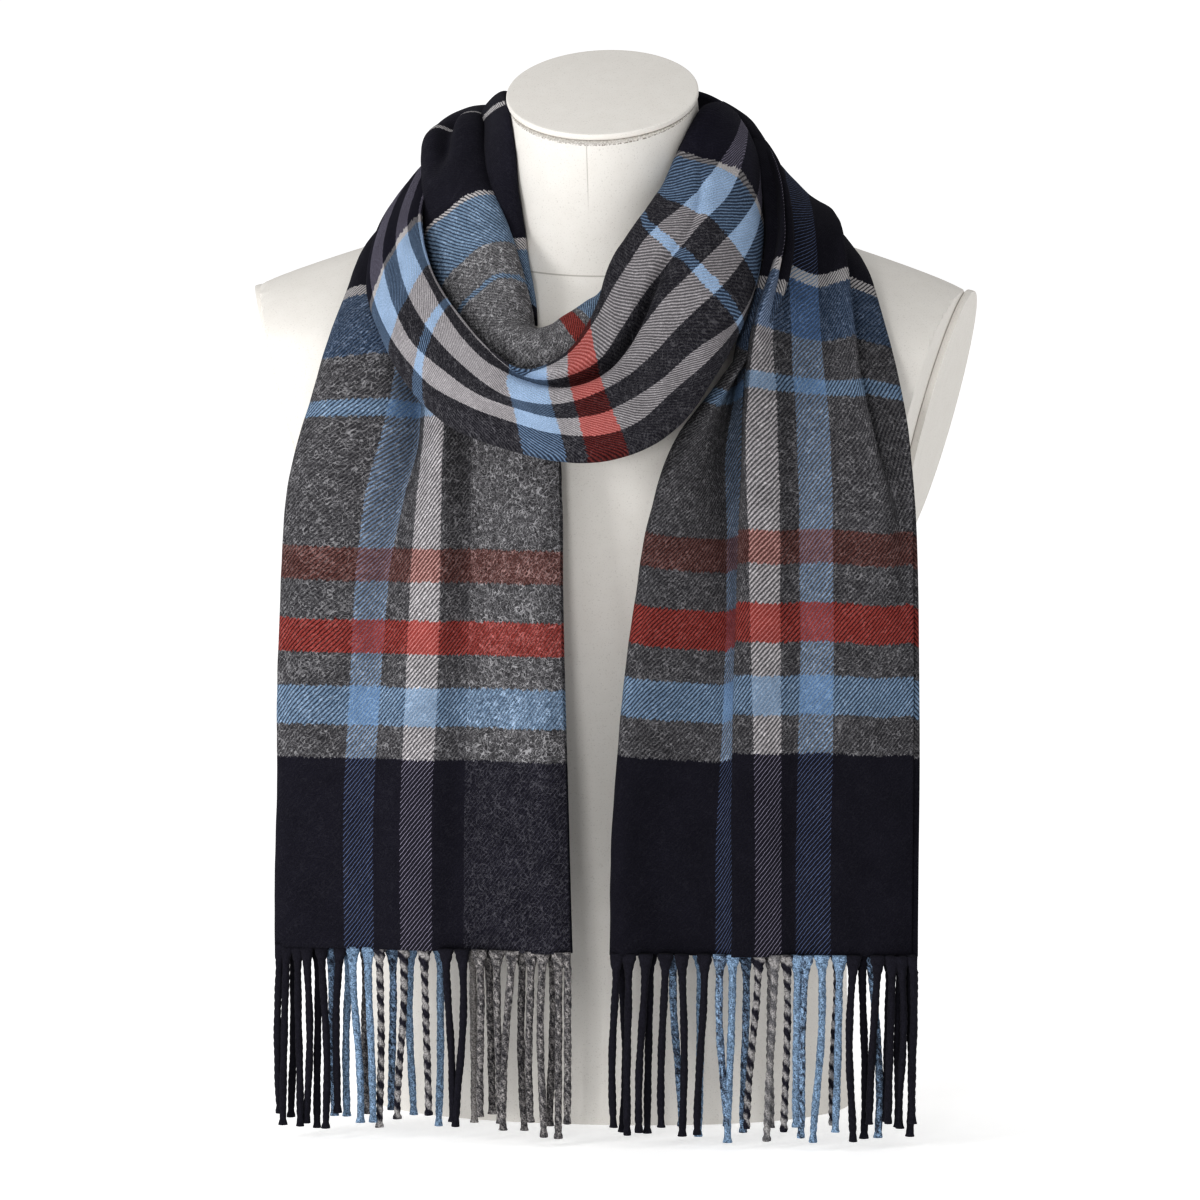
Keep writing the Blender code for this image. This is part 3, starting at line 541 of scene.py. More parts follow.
# %% One section of a folded end
FRONT_STEPS = 10          # points between two lines of the front layer
BACK_STEPS = 4
FOLD_STEPS = 4
LAYER_GAP = 0.0032        # from the front layer's middle to the rear layer's
EDGE_ROUND = 0.006        # how far in from the fold the cloth reaches its full depth
EDGE_DEPTH = 0.0055
REAR_SHARE = 0.85         # how much of the half depth the rear layer lies back at least
REAR_EDGE = 0.001         # how far back the rear layer's open edge lies
CLOSE_LINES = 0.0004      # lines of a section count as no closer together than this
EVEN_PACE = 0.6           # 1 would step by true distance, 0 by line


def profile_line(across, depth, u, counts):
    """A smooth line through a section's points: across and depth in metres, with u."""
    knots = np.stack((across, depth), axis=1)
    steps = np.maximum(np.linalg.norm(np.diff(knots, axis=0), axis=1), CLOSE_LINES) ** EVEN_PACE
    places = np.concatenate([i + np.arange(n) / n for i, n in enumerate(counts)]
                            + [[float(len(knots) - 1)]])
    line = curve_through(knots, steps, places)
    return line, np.interp(places, np.arange(len(u)), u)


def end_profile(across, depth, widths, half_width, half_depth, fold_side):
    """One section of an end: front layer in from its open edge, the fold, and the rear."""
    fold_in = fold_side * (1 - min(half_depth, EDGE_ROUND) / half_width)
    front_across = np.concatenate(([fold_in], across)) * half_width
    front_out = np.concatenate(([min(half_depth * 0.95, EDGE_DEPTH)], depth))
    rear_across = front_across.copy()
    rear_across[-1] = -fold_side * half_width
    rear_out = np.minimum(front_out - LAYER_GAP, -half_depth * REAR_SHARE)
    rear_out[-1] = min(rear_out[-1], -REAR_EDGE)
    across = np.concatenate((front_across[::-1], [fold_side * half_width], rear_across))
    out = np.concatenate((front_out[::-1], [0.0], rear_out))
    u = np.concatenate((widths[::-1], [0.0], -widths))
    lines = len(front_across) - 1
    counts = [FRONT_STEPS] * lines + [FOLD_STEPS] * 2 + [BACK_STEPS] * lines
    return profile_line(across, out, u, counts)


print(FRONT_STEPS, "points between two lines in front,", BACK_STEPS, "behind")

# %% Lay a folded end along its path
END_ROWS = 190
THREAD_BLUR = 26          # columns over which the threads' heights are evened out


def arc_lengths(points):
    """Distance along each row of points from the row's start."""
    steps = np.linalg.norm(np.diff(points, axis=1), axis=2)
    return np.concatenate((np.zeros((len(points), 1)), np.cumsum(steps, axis=1)), axis=1)


def soften(values, reach):
    """Blur values across the columns of a grid."""
    kernel = np.hanning(2 * reach + 3)[1:-1]
    kernel /= kernel.sum()
    padded = np.pad(values, ((0, 0), (reach, reach)), mode="edge")
    return np.array([np.convolve(row, kernel, mode="valid") for row in padded])


def even_threads(points, across_u):
    """Past the last stripe of the right end, give the threads their own even spacing."""
    last = 2 * FRONT_STEPS
    reached = arc_lengths(points[:, :last + 1])
    across_u[:, :last] = across_u[:, last:last + 1] + reached[:, -1:] - reached[:, :last]


def lay_end(places, first_row, across, depth, lines, fold_side, hem_first):
    """Points and weave places of one hanging end; fold_side is 1 for a fold at the outer edge.

    The tables of across and depth have a row for each section from first_row on, and a column
    for each of the lines, whose metres from the fold come with their names.
    """
    middle, reach, outward, half_depth = section_frames(PATH, places)
    half_width = np.linalg.norm(reach, axis=1)
    side = reach / half_width[:, None]
    widths = np.array(list(lines.values()))
    across = even_rows(across, places - first_row)
    depth = even_rows(depth, places - first_row) / 1000
    points, across_u = [], []
    for i in range(len(places)):
        line, u = end_profile(across[i], depth[i], widths, half_width[i], half_depth[i],
                              fold_side)
        points.append(middle[i] + side[i] * line[:, :1] + outward[i] * line[:, 1:])
        across_u.append(u)
    points, across_u = np.array(points), np.array(across_u)
    along = arc_lengths(np.swapaxes(points, 0, 1)).T
    if not hem_first:
        along = along[-1] - along
        even_threads(points, across_u)
    along = soften(along, THREAD_BLUR)
    return points, np.stack((across_u, along), axis=2), outward


# %% Lay the two ends
BAND_RISE = 0.0045        # how much higher the right end's bands sit beside its fold
BAND_RISE_ENDS = 0.095    # metres from the fold where the bands are level again
BAND_RISE_RUN = 0.03


def ease(value):
    """0 below 0, 1 above 1, and a soft rise between."""
    value = np.clip(value, 0.0, 1.0)
    return value * value * (3.0 - 2.0 * value)


def finish_sheet(name, points, weave, outward, seed, soft=0.0016, fine=0.0003, gap=CLEAR):
    """Crumple a laid sheet, move it off the form where there is a gap to keep, and build it."""
    outward = outward[:, None]
    points = crumple(points, weave, outward, seed, soft, fine)
    if gap:
        points = keep_off(points, form_tree, gap)
    return cloth_sheet(name, points, weave, outward)


points, weave, outward = lay_end(
    np.linspace(0.0, len(LEFT_END) - 0.35, END_ROWS), 0, LEFT_ACROSS, LEFT_DEPTH, LEFT_LINES,
    fold_side=1.0, hem_first=True)
left_end = finish_sheet("left_end_cloth", points, weave, outward, seed=3.0)

points, weave, outward = lay_end(
    np.linspace(RIGHT_START - 0.6, len(PATH) - 1.0, END_ROWS), RIGHT_START, RIGHT_ACROSS,
    RIGHT_DEPTH, RIGHT_LINES, fold_side=-1.0, hem_first=False)
beside_fold = (BAND_RISE_ENDS - np.abs(weave[..., 0])) / BAND_RISE_RUN
weave[..., 1] += BAND_RISE * ease(beside_fold)
right_end = finish_sheet("right_end_cloth", points, weave, outward, seed=21.0)

# %% [markdown]
# ## The loop across the front
# The loop is a soft roll that hangs from behind the neck, like a cowl. It could be a bent
# tube, but a tube is as full at the edges as in the middle, and this cloth is flat there. So
# its section is a low dome from the edge at the neck to the bottom edge. A crease parts its
# inner fold from the rest on the right side, and the inner fold narrows to a tongue in the
# middle of the front. Smaller creases run along it, each with its own size.

# %% The loop's dome and its crease
LOOP_COLUMNS = ("edge across", "edge out", "crease across", "crease depth", "crease width",
                "lower edge across")
LOOP_FORM = (       # millimetres, but for what lies across
    (-1.15, -2.0, -0.98, 0.5, 5.0, 1.00),
    (-1.20, -3.0, -0.95, 0.8, 5.0, 0.98),
    (-1.28, -4.0, -0.89, 1.2, 5.0, 1.00),
    (-1.18, -4.0, -0.86, 1.5, 6.0, 1.00),
    (-1.15, -6.0, -0.40, 3.0, 6.0, 0.99),
    (-1.24, -4.6, -0.40, 6.5, 6.5, 0.98),
    (-1.37, -2.8, -0.33, 10.5, 6.5, 0.98),
    (-1.45, -1.0, -0.22, 14.0, 6.0, 1.00),
    (-1.27, 4.0, -0.21, 15.0, 5.5, 1.00),
    (-0.90, 11.0, -0.30, 11.0, 4.5, 0.98),
    (-0.64, 15.0, -0.50, 5.0, 4.0, 0.88),
    (-0.78, 13.0, -0.72, 1.0, 4.0, 0.78),
    (-0.95, 11.0, -0.90, 0.0, 4.0, 0.72),
    (-1.03, 9.0, -1.00, 0.0, 4.0, 0.73),
    (-1.06, 7.0, -1.00, 0.0, 4.0, 0.80),
    (-1.06, 4.0, -1.00, 0.0, 4.0, 0.92),
    (-1.04, 3.0, -1.00, 0.0, 4.0, 0.98),
    (-1.00, 2.0, -1.00, 0.0, 4.0, 1.00),
)
LOOP_CREASES = (    # first row, last row, across there, depth and half width in metres
    (4.0, 9.5, 0.22, 0.30, 0.0030, 0.009),
    (9.0, 16.5, 0.30, 0.42, 0.0022, 0.008),
    (11.5, 16.8, -0.30, -0.15, 0.0018, 0.007),
)
LOOP_ROWS = 260
LOOP_ANGLES = np.linspace(238.0, -52.0, 150)     # round the dome, from under one edge
LOOP_SQUARE = 2.2         # 2 would be a round dome, and more is a squarer one
LOOP_UNDER = 0.45         # how full the underside is beside the dome
print(len(LOOP_FORM), "sections of the loop")


# %% Creases in a dome
def crease(across, centre, half_width, depth, width):
    """How deep a soft trough is at each place across; width is half of its own width."""
    distance = (across - centre) * half_width / width
    return depth * np.exp(-distance * distance)


def come_and_go(share):
    """0 at both ends of a crease and 1 over its middle third."""
    return ease(share * 3) * ease((1 - share) * 3)


def press(height, across, rows, creases, half_width, top):
    """Press a table of creases into a dome's height; rows says where its sections are."""
    for first, last, start, end, depth, width in creases:
        share = ((rows - first) / (last - first))[:, None]
        centre = start + (end - start) * share
        trough = crease(across, centre, half_width, depth, width)
        height = height - top * come_and_go(share) * trough
    return height


print("half way out, a crease is", round(float(crease(0.5, 0.0, 1.0, 1.0, 1.0)), 2), "as deep")


# %% Lay the loop
def loop_form(local):
    """The form of the loop at some of its rows, as named columns."""
    return dict(zip(LOOP_COLUMNS, even_rows(LOOP_FORM, local).T[..., None]))


def placed(middle, reach, outward, across, height):
    """A grid of points from how far across its sections and how far out they are."""
    points = middle[:, None] + reach[:, None] * across[..., None]
    return points + outward[:, None] * height[..., None]


def lay_loop(places):
    """Points of the loop, with how far across and along each one is."""
    middle, reach, outward, half_depth = section_frames(PATH, places)
    half_width = np.linalg.norm(reach, axis=1)[:, None]
    local = np.clip(places - LOOP_START, 0.0, len(LOOP_FORM) - 1.0)
    form = loop_form(local)
    angles = np.radians(LOOP_ANGLES)
    edge, lower = form["edge across"], form["lower edge across"]
    deep = half_depth[:, None]
    across = (lower + edge) / 2 + (lower - edge) / 2 * rounded(np.cos(angles), LOOP_SQUARE)
    rise = rounded(np.sin(angles), LOOP_SQUARE)
    base = form["edge out"] / 1000 * (lower - across) / (lower - edge)
    height = np.where(rise > 0, base + (deep - base) * rise, base + deep * LOOP_UNDER * rise)
    top = ease(rise * 3)
    height = height - top * crease(across, form["crease across"], half_width,
                                   form["crease depth"] / 1000, form["crease width"] / 1000)
    height = press(height, across, local, LOOP_CREASES, half_width, top)
    return placed(middle, reach, outward, across, height), across, local, outward


loop_places = np.linspace(LOOP_START - 0.5, NAPE_OUTER_START, LOOP_ROWS)
loop_points, loop_across, loop_local, loop_out = lay_loop(loop_places)
print("loop:", loop_points.shape[0], "rows of", loop_points.shape[1], "points")

# %% [markdown]
# ## Where the loop's stripes and bands lie
# The same stripes run along the loop and the same bands cross it, but a wound cloth slips and
# gathers, so they don't lie square on it. A flat mapping over the loop would put them wrong.
# For every row of the loop's table, one table says where across each stripe's edge lies. For
# every band's edge another says at which row it crosses three lines of the loop: its neck
# side, its crown and its lower side.

# %% Where the loop's stripes and bands lie
LOOP_STRIPE_U = (-0.006, 0.008, 0.027, 0.045, 0.066, 0.084, 0.104, 0.125)   # metres across
LOOP_STRIPES = (    # where across the edges between those two outer ones lie
    (-0.60, -0.34, 0.40, 0.60, 0.75, 0.90),
    (-0.60, -0.34, 0.42, 0.62, 0.77, 0.91),
    (-0.60, -0.30, 0.40, 0.64, 0.93, 0.96),
    (-0.61, -0.22, 0.21, 0.54, 0.94, 0.96),
    (-0.67, -0.33, 0.06, 0.44, 0.90, 0.94),
    (-0.85, -0.44, -0.07, 0.29, 0.66, 0.84),
    (-0.96, -0.50, -0.16, 0.17, 0.53, 0.72),
    (-1.02, -0.43, -0.17, 0.15, 0.48, 0.77),
    (-1.02, -0.36, -0.19, 0.13, 0.47, 0.76),
    (-0.80, -0.42, -0.32, 0.15, 0.40, 0.66),
    (-0.62, -0.55, -0.47, 0.02, 0.19, 0.48),
    (-0.78, -0.75, -0.57, -0.21, 0.06, 0.36),
    (-0.94, -0.92, -0.72, -0.34, 0.00, 0.39),
    (-1.03, -1.01, -0.84, -0.36, 0.11, 0.45),
    (-1.06, -1.04, -0.90, -0.33, 0.13, 0.60),
    (-1.05, -1.03, -0.72, -0.32, 0.15, 0.70),
    (-1.03, -1.01, -0.68, -0.25, 0.20, 0.76),
    (-1.00, -0.98, -0.64, -0.20, 0.24, 0.80),
)
BAND_COLUMNS = ("yarn before it", "metres along", "neck side", "crown", "lower side")
BAND_LINES = {"neck side": -1.0, "crown": -0.3, "lower side": 0.6}     # how far across each is
LOOP_BANDS = (
    ("navy", 0.000, 3.20, 2.24, 2.10),
    ("light", 0.008, 3.42, 2.72, 2.34),
    ("blue", 0.047, 4.42, 3.70, 3.34),
    ("ash", 0.077, 4.98, 4.42, 3.98),
    ("blue", 0.087, 5.22, 4.66, 4.18),
    ("ash", 0.212, 8.15, 7.95, 7.50),
    ("red", 0.237, 8.85, 8.70, 8.32),
    ("grey", 0.257, 9.55, 9.28, 8.78),
    ("blue", 0.281, 10.60, 10.20, 9.58),
    ("grey", 0.374, 13.05, 12.75, 12.02),
    ("blue", 0.384, 13.22, 13.12, 12.50),
    ("grey", 0.414, 14.20, 13.93, 13.50),
    ("blue", 0.453, 14.97, 14.90, 14.42),
    ("light", 0.461, 15.30, 15.08, 14.66),
)
BAND_RUN = 0.034          # metres along the cloth for a row beyond the outermost bands
BEYOND = 10               # rows that a table is drawn out by at both ends
PAST_LOWER = 1.4          # how far past the lower side the bands go on slanting
print(len(LOOP_BANDS), "bands across the loop")


# %% Weave places on the loop
def band_places(bands, line, rows):
    """Metres along the cloth at some rows, down one of the three lines of a bands table."""
    bands = [dict(zip(BAND_COLUMNS, band)) for band in bands]
    marks = np.array([band[line] for band in bands])
    metres = np.array([band["metres along"] for band in bands])
    marks = np.concatenate(([marks[0] - BEYOND], marks, [marks[-1] + BEYOND]))
    first, last = metres[0] - BEYOND * BAND_RUN, metres[-1] + BEYOND * BAND_RUN
    metres = np.concatenate(([first], metres, [last]))
    return np.interp(rows, marks, metres)


def band_weave(bands, rows, across):
    """Metres along the cloth over a grid, from a bands table."""
    first, second, third = (band_places(bands, line, rows)[:, None] for line in BAND_LINES)
    neck_side, crown, lower_side = BAND_LINES.values()
    inner = np.clip((across - neck_side) / (crown - neck_side), 0, 1)
    outer = np.clip((across - crown) / (lower_side - crown), 0, PAST_LOWER)
    metres = soften(first + (second - first) * inner + (third - second) * outer, 5)
    return soften(metres.T, 3).T


def loop_weave_places():
    """The weave's place in metres all over the loop."""
    stripes = even_rows(LOOP_STRIPES, loop_local)
    form = loop_form(loop_local)
    edges, lowers = form["edge across"][:, 0], form["lower edge across"][:, 0]
    lengths = arc_lengths(loop_points)
    first, last = np.argmin(np.abs(LOOP_ANGLES - 180)), np.argmin(np.abs(LOOP_ANGLES))
    u = np.empty(loop_across.shape)
    for i, across in enumerate(loop_across):
        knots = np.concatenate(([edges[i]], stripes[i], [lowers[i]]))
        knots = np.maximum.accumulate(knots + np.arange(len(knots)) * 1e-4)
        u[i] = np.interp(across, knots, LOOP_STRIPE_U)
        u[i, :first] = u[i, first] - (lengths[i, first] - lengths[i, :first])
        u[i, last:] = u[i, last] + (lengths[i, last:] - lengths[i, last])
    v = band_weave(LOOP_BANDS, loop_local, loop_across)
    return np.stack((u, v), axis=2)


loop_weave = loop_weave_places()
front_loop = finish_sheet("front_loop_cloth", loop_points, loop_weave, loop_out, seed=40.0,
                          soft=0.0010, fine=0.00025, gap=None)

# %% [markdown]
# ## The roll inside the loop and the strip at the neck
# On the left a second fold of the same cloth lies inside the loop, like a rolled collar. It
# runs down beside the neck, turns at the bottom and goes up the right side under the loop's
# inner fold. A narrow strip of cloth shows between it and the neck. They could be one piece
# with the loop, but the sheet would have to double back on itself there; as pieces of their
# own, each has a short table of sections that is easy to change.

# %% Tables of the roll and the neck strip
LOOP_ROLL = (
    (-0.0520, 0.0850, 0.6610, -0.0700, 0.0980, 0.6500, 0.0045),
    (-0.0877, 0.0700, 0.6600, -0.1154, 0.0750, 0.6500, 0.0050),
    (-0.0857, 0.0450, 0.6572, -0.1229, 0.0500, 0.6412, 0.0080),
    (-0.0831, 0.0200, 0.6541, -0.1241, 0.0200, 0.6353, 0.0110),
    (-0.0770, -0.0120, 0.6318, -0.1202, -0.0080, 0.6135, 0.0120),
    (-0.0665, -0.0420, 0.6059, -0.1148, -0.0380, 0.5869, 0.0130),
    (-0.0543, -0.0660, 0.5793, -0.1072, -0.0640, 0.5663, 0.0130),
    (-0.0457, -0.0820, 0.5595, -0.0961, -0.0880, 0.5484, 0.0120),
    (-0.0384, -0.0940, 0.5389, -0.0816, -0.1080, 0.5331, 0.0120),
    (-0.0327, -0.1080, 0.5212, -0.0636, -0.1260, 0.5165, 0.0110),
    (-0.0251, -0.1120, 0.5242, -0.0385, -0.1400, 0.5049, 0.0100),
    (-0.0177, -0.1080, 0.5304, -0.0144, -0.1360, 0.5061, 0.0090),
    (-0.0093, -0.1020, 0.5359, 0.0028, -0.1280, 0.5159, 0.0080),
    (-0.0011, -0.0940, 0.5418, 0.0118, -0.1160, 0.5293, 0.0060),
    (0.0045, -0.0860, 0.5459, 0.0182, -0.1040, 0.5401, 0.0040),
    (0.0140, -0.0760, 0.5620, 0.0280, -0.0900, 0.5560, 0.0030),
)
NECK_STRIP = (
    (-0.0500, 0.0700, 0.6400, -0.0660, 0.0860, 0.6200, 0.0030),
    (-0.0680, 0.0340, 0.6720, -0.0850, 0.0520, 0.6520, 0.0035),
    (-0.0680, -0.0020, 0.6720, -0.0860, 0.0330, 0.6560, 0.0040),
    (-0.0592, -0.0390, 0.6646, -0.0825, 0.0250, 0.6497, 0.0050),
    (-0.0552, -0.0490, 0.6389, -0.0777, -0.0050, 0.6340, 0.0060),
    (-0.0535, -0.0500, 0.6127, -0.0714, -0.0300, 0.6115, 0.0060),
    (-0.0485, -0.0540, 0.5868, -0.0627, -0.0450, 0.5918, 0.0060),
    (-0.0440, -0.0620, 0.5644, -0.0550, -0.0580, 0.5721, 0.0055),
    (-0.0400, -0.0740, 0.5456, -0.0480, -0.0720, 0.5548, 0.0045),
    (-0.0348, -0.0930, 0.5275, -0.0405, -0.0860, 0.5363, 0.0035),
)
STRIP_CLEAR = 0.0014      # the strip lies closer to the neck than the other cloth
print(len(LOOP_ROLL), "sections of the roll and", len(NECK_STRIP), "of the strip")

# %% Bands and creases of the roll and the neck strip
ROLL_BANDS = (
    ("navy", -0.160, 2.50, 2.55, 2.55),
    ("light", -0.152, 2.75, 2.85, 2.85),
    ("navy", 0.000, 4.80, 4.82, 5.12),
    ("light", 0.008, 4.98, 5.07, 5.30),
    ("blue", 0.047, 6.00, 6.15, 6.62),
    ("silver", 0.077, 7.05, 7.03, 7.52),
    ("blue", 0.085, 7.40, 7.26, 7.72),
    ("silver", 0.215, 10.80, 11.15, 11.50),
    ("red", 0.238, 11.70, 11.95, 12.15),
    ("silver", 0.245, 12.00, 12.25, 12.45),
    ("blue", 0.300, 14.50, 14.60, 14.70),
)
STRIP_BANDS = (
    ("navy", -0.150, 2.45, 2.45, 2.45),
    ("light", -0.142, 2.80, 2.80, 2.80),
    ("navy", 0.000, 6.20, 6.40, 6.50),
    ("light", 0.008, 6.45, 6.65, 6.75),
    ("blue", 0.047, 8.50, 8.60, 8.70),
)
ROLL_CREASES = (    # first row, last row, across there, depth and half width in metres
    (1.6, 4.4, -0.15, 0.30, 0.0090, 0.006),
    (4.0, 9.0, 0.35, 0.20, 0.0018, 0.008),
)
ROLL_SQUARE = 2.2
ROLL_ROWS = 200
STRIP_ROWS = 140
ROLL_ANGLES = np.linspace(238.0, -58.0, 80)
STRIP_ANGLES = np.linspace(225.0, -45.0, 40)
print(len(ROLL_BANDS), "bands on the roll")


# %% Lay the roll and the strip
def along_middle(points):
    """Distance along the middle column of a grid of points, repeated over its columns."""
    middle_line = points[:, points.shape[1] // 2]
    steps = np.linalg.norm(np.diff(middle_line, axis=0), axis=1)
    v = np.concatenate(([0.0], np.cumsum(steps)))
    return np.repeat(v[:, None], points.shape[1], axis=1)


def lay_roll(sections, rows, angles, under_share, creases=()):
    """Points of a rolled fold of cloth that faces away from the neck, from its sections."""
    places = np.linspace(0.0, len(sections) - 1.0, rows)
    middle, reach, outward, half_depth = section_frames(sections, places)
    outward = -outward
    across = rounded(np.cos(np.radians(angles)), ROLL_SQUARE)[None]
    rise = rounded(np.sin(np.radians(angles)), ROLL_SQUARE)[None]
    height = half_depth[:, None] * np.where(rise > 0, rise, rise * under_share)
    half_width = np.linalg.norm(reach, axis=1)[:, None]
    height = press(height, across, places, creases, half_width, ease(rise * 3))
    points = placed(middle, reach, outward, across, height)
    u = arc_lengths(points)
    u = u - u[:, len(angles) // 2:len(angles) // 2 + 1]
    return points, np.stack((u, along_middle(points)), axis=2), outward, places, across


points, weave, outward, places, across = lay_roll(
    LOOP_ROLL, ROLL_ROWS, ROLL_ANGLES, under_share=0.5, creases=ROLL_CREASES)
weave[..., 1] = band_weave(ROLL_BANDS, places, across.repeat(ROLL_ROWS, axis=0))
front_roll = finish_sheet("loop_roll_cloth", points, weave, outward, seed=60.0, soft=0.0012)

points, weave, outward, places, across = lay_roll(
    NECK_STRIP, STRIP_ROWS, STRIP_ANGLES, under_share=0.6)
weave[..., 1] = band_weave(STRIP_BANDS, places, across.repeat(STRIP_ROWS, axis=0))
neck_strip = finish_sheet("neck_strip_cloth", points, weave, outward, seed=71.0, soft=0.0006,
                          fine=0.0002, gap=STRIP_CLEAR)

# %% [markdown]
# ## Behind the neck
# Both ends cross behind the neck in two layers of gathered cloth, one over the other. They
# could be left out, because they hardly show from the front, but a scarf is looked at from
# all sides. They use a dome like the loop's without its inner fold, squarer, so that the
# cloth is flat on its crown, with soft creases that run along it.

# %% The two stretches behind the neck
NAPE_SQUARE = 2.5
NAPE_UNDER = 0.6
NAPE_ARC = (228.0, -48.0)     # degrees round the dome, from under one edge
INNER_NAPE_CREASES = ((0.1, -0.1, 0.002, 0.008),)     # start, end, depth and half width
OUTER_NAPE_CREASES = (
    (0.45, 0.20, 0.0045, 0.008), (-0.35, -0.20, 0.0035, 0.007), (0.0, -0.6, 0.003, 0.006),
)


def lay_nape(places, angles, creases):
    """Points of one stretch behind the neck and its weave's place."""
    middle, reach, outward, half_depth = section_frames(PATH, places)
    half_width = np.linalg.norm(reach, axis=1)[:, None]
    across = rounded(np.cos(np.radians(angles)), NAPE_SQUARE)[None]
    rise = rounded(np.sin(np.radians(angles)), NAPE_SQUARE)[None]
    height = half_depth[:, None] * np.where(rise > 0, rise, rise * NAPE_UNDER)
    share = np.linspace(0, 1, len(places))[:, None]
    for start, end, depth, width in creases:
        centre = start + (end - start) * share
        height = height - ease(rise * 3) * crease(across, centre, half_width, depth, width)
    points = placed(middle, reach, outward, across, height)
    return points, np.stack((arc_lengths(points), along_middle(points)), axis=2), outward


points, weave, outward = lay_nape(
    np.linspace(NAPE_INNER_START - 0.75, LOOP_START + 0.1, 90), np.linspace(*NAPE_ARC, 60),
    INNER_NAPE_CREASES)
nape_inner = finish_sheet("nape_inner_cloth", points, weave, outward, seed=80.0)

points, weave, outward = lay_nape(
    np.linspace(NAPE_OUTER_START - 0.6, RIGHT_START + 0.15, 110), np.linspace(*NAPE_ARC, 80),
    OUTER_NAPE_CREASES)
nape_outer = finish_sheet("nape_outer_cloth", points, weave, outward, seed=90.0, gap=None)

# %% [markdown]
# ## The fringe
# At each hem the warp yarns hang free, twisted together in strands that swell a little at
# their cut ends. They could be a particle system of hairs, but a hair has one colour and no
# twist to see. So a strand is a tube whose section is two plies side by side, turned as it
# goes down, so that the plies wind round each other, each in its own colour; a light ply, and
# one of two plies of the same yarn, are darker by a painted shade. All the strands of one
# layer are one mesh, built from arrays of points.

# %% Where the strands hang
HEM_HEIGHT = LEFT_END[0][2]
STRAND_COLUMNS = ("root", "end", "first yarn", "second yarn")     # mm from the end's left edge
LEFT_FRONT = (
    (2.0, 2.5, "navy", "navy"), (7.5, 5.0, "navy", "navy"), (15.0, 16.5, "navy", "navy"),
    (22.5, 20.5, "navy", "navy"), (31.5, 34.5, "navy", "navy"), (43.5, 39.5, "navy", "navy"),
    (53.0, 55.5, "blue", "blue"), (62.0, 65.0, "blue", "blue"), (69.5, 69.5, "navy", "light"),
    (85.0, 82.0, "light", "navy"), (99.0, 101.5, "navy", "light"),
    (113.5, 118.0, "navy", "navy"), (124.5, 121.0, "navy", "navy"),
    (134.5, 137.0, "grey", "charcoal"), (146.5, 149.0, "grey", "charcoal"),
    (156.5, 150.5, "charcoal", "grey"), (167.5, 170.0, "grey", "charcoal"),
    (176.5, 177.0, "grey", "charcoal"), (187.5, 187.0, "charcoal", "grey"),
    (193.5, 193.0, "grey", "charcoal"),
)
LEFT_BACK = (
    (11.0, 9.5, "navy", "navy"), (26.0, 27.5, "navy", "navy"), (36.0, 37.5, "blue", "navy"),
    (47.5, 45.5, "blue", "blue"), (58.0, 59.5, "grey", "charcoal"),
    (76.5, 76.0, "blue", "navy"), (88.5, 89.5, "blue", "blue"), (109.0, 107.0, "blue", "blue"),
    (130.0, 131.0, "charcoal", "charcoal"), (140.5, 142.5, "charcoal", "grey"),
    (161.0, 164.0, "charcoal", "grey"), (182.5, 181.0, "charcoal", "grey"),
)
RIGHT_FRONT = (
    (2.5, 2.5, "navy", "navy"), (11.0, 12.0, "navy", "navy"), (22.5, 18.5, "navy", "navy"),
    (35.0, 33.0, "navy", "navy"), (47.0, 47.0, "navy", "navy"), (60.5, 57.0, "navy", "navy"),
    (70.0, 75.0, "blue", "navy"), (79.0, 76.5, "blue", "blue"), (95.5, 88.5, "navy", "light"),
    (106.5, 101.0, "grey", "light"), (114.5, 112.5, "navy", "light"),
    (120.5, 120.5, "blue", "blue"), (126.5, 122.5, "navy", "blue"),
    (137.0, 132.5, "blue", "blue"), (148.5, 145.5, "blue", "blue"),
    (156.5, 155.5, "navy", "navy"), (173.0, 166.5, "navy", "navy"),
    (181.5, 180.0, "navy", "navy"), (188.0, 187.0, "navy", "navy"),
    (194.8, 196.0, "navy", "navy"),
)
RIGHT_BACK = (
    (7.5, 7.5, "navy", "navy"), (25.0, 23.0, "navy", "navy"), (40.0, 44.5, "blue", "navy"),
    (58.0, 56.0, "blue", "blue"), (86.5, 86.0, "navy", "blue"), (102.0, 104.0, "grey", "light"),
    (145.0, 143.5, "navy", "light"), (163.0, 163.0, "navy", "navy"),
    (169.0, 173.0, "blue", "navy"), (179.0, 178.0, "navy", "navy"),
    (185.0, 186.5, "navy", "navy"), (192.5, 193.0, "navy", "navy"),
)
print("hem", HEM_HEIGHT, "m above the floor")

# %% Yarns
YARN_COLUMNS = ("sRGB", "nap", "warp on the face", "warp on the back")
YARNS = {                 # how much nap is on each, and how much warp shows across it
    "navy": ((42, 41, 49), 0.05, 0.13, 0.14),
    "charcoal": ((84, 83, 87), 0.85, 0.33, 0.33),
    "grey": ((101, 100, 102), 1.00, 0.50, 0.66),
    "silver": ((126, 125, 127), 1.25, 0.35, 0.60),
    "ash": ((82, 81, 83), 0.80, 0.50, 0.40),
    "light": ((190, 187, 187), 0.10, 0.36, 0.36),
    "blue": ((130, 151, 174), 0.50, 0.42, 0.50),
    "sky": ((166, 194, 226), 0.30, 0.45, 0.57),
    "deep": ((88, 104, 126), 0.80, 0.40, 0.45),
    "red": ((150, 76, 71), 0.35, 0.34, 0.48),
    "rust": ((112, 80, 76), 0.70, 0.42, 0.42),
}


def linear(srgb):
    """sRGB bytes as linear colour."""
    share = np.array(srgb, dtype=float) / 255
    return np.where(share <= 0.04045, share / 12.92, ((share + 0.055) / 1.055) ** 2.4)


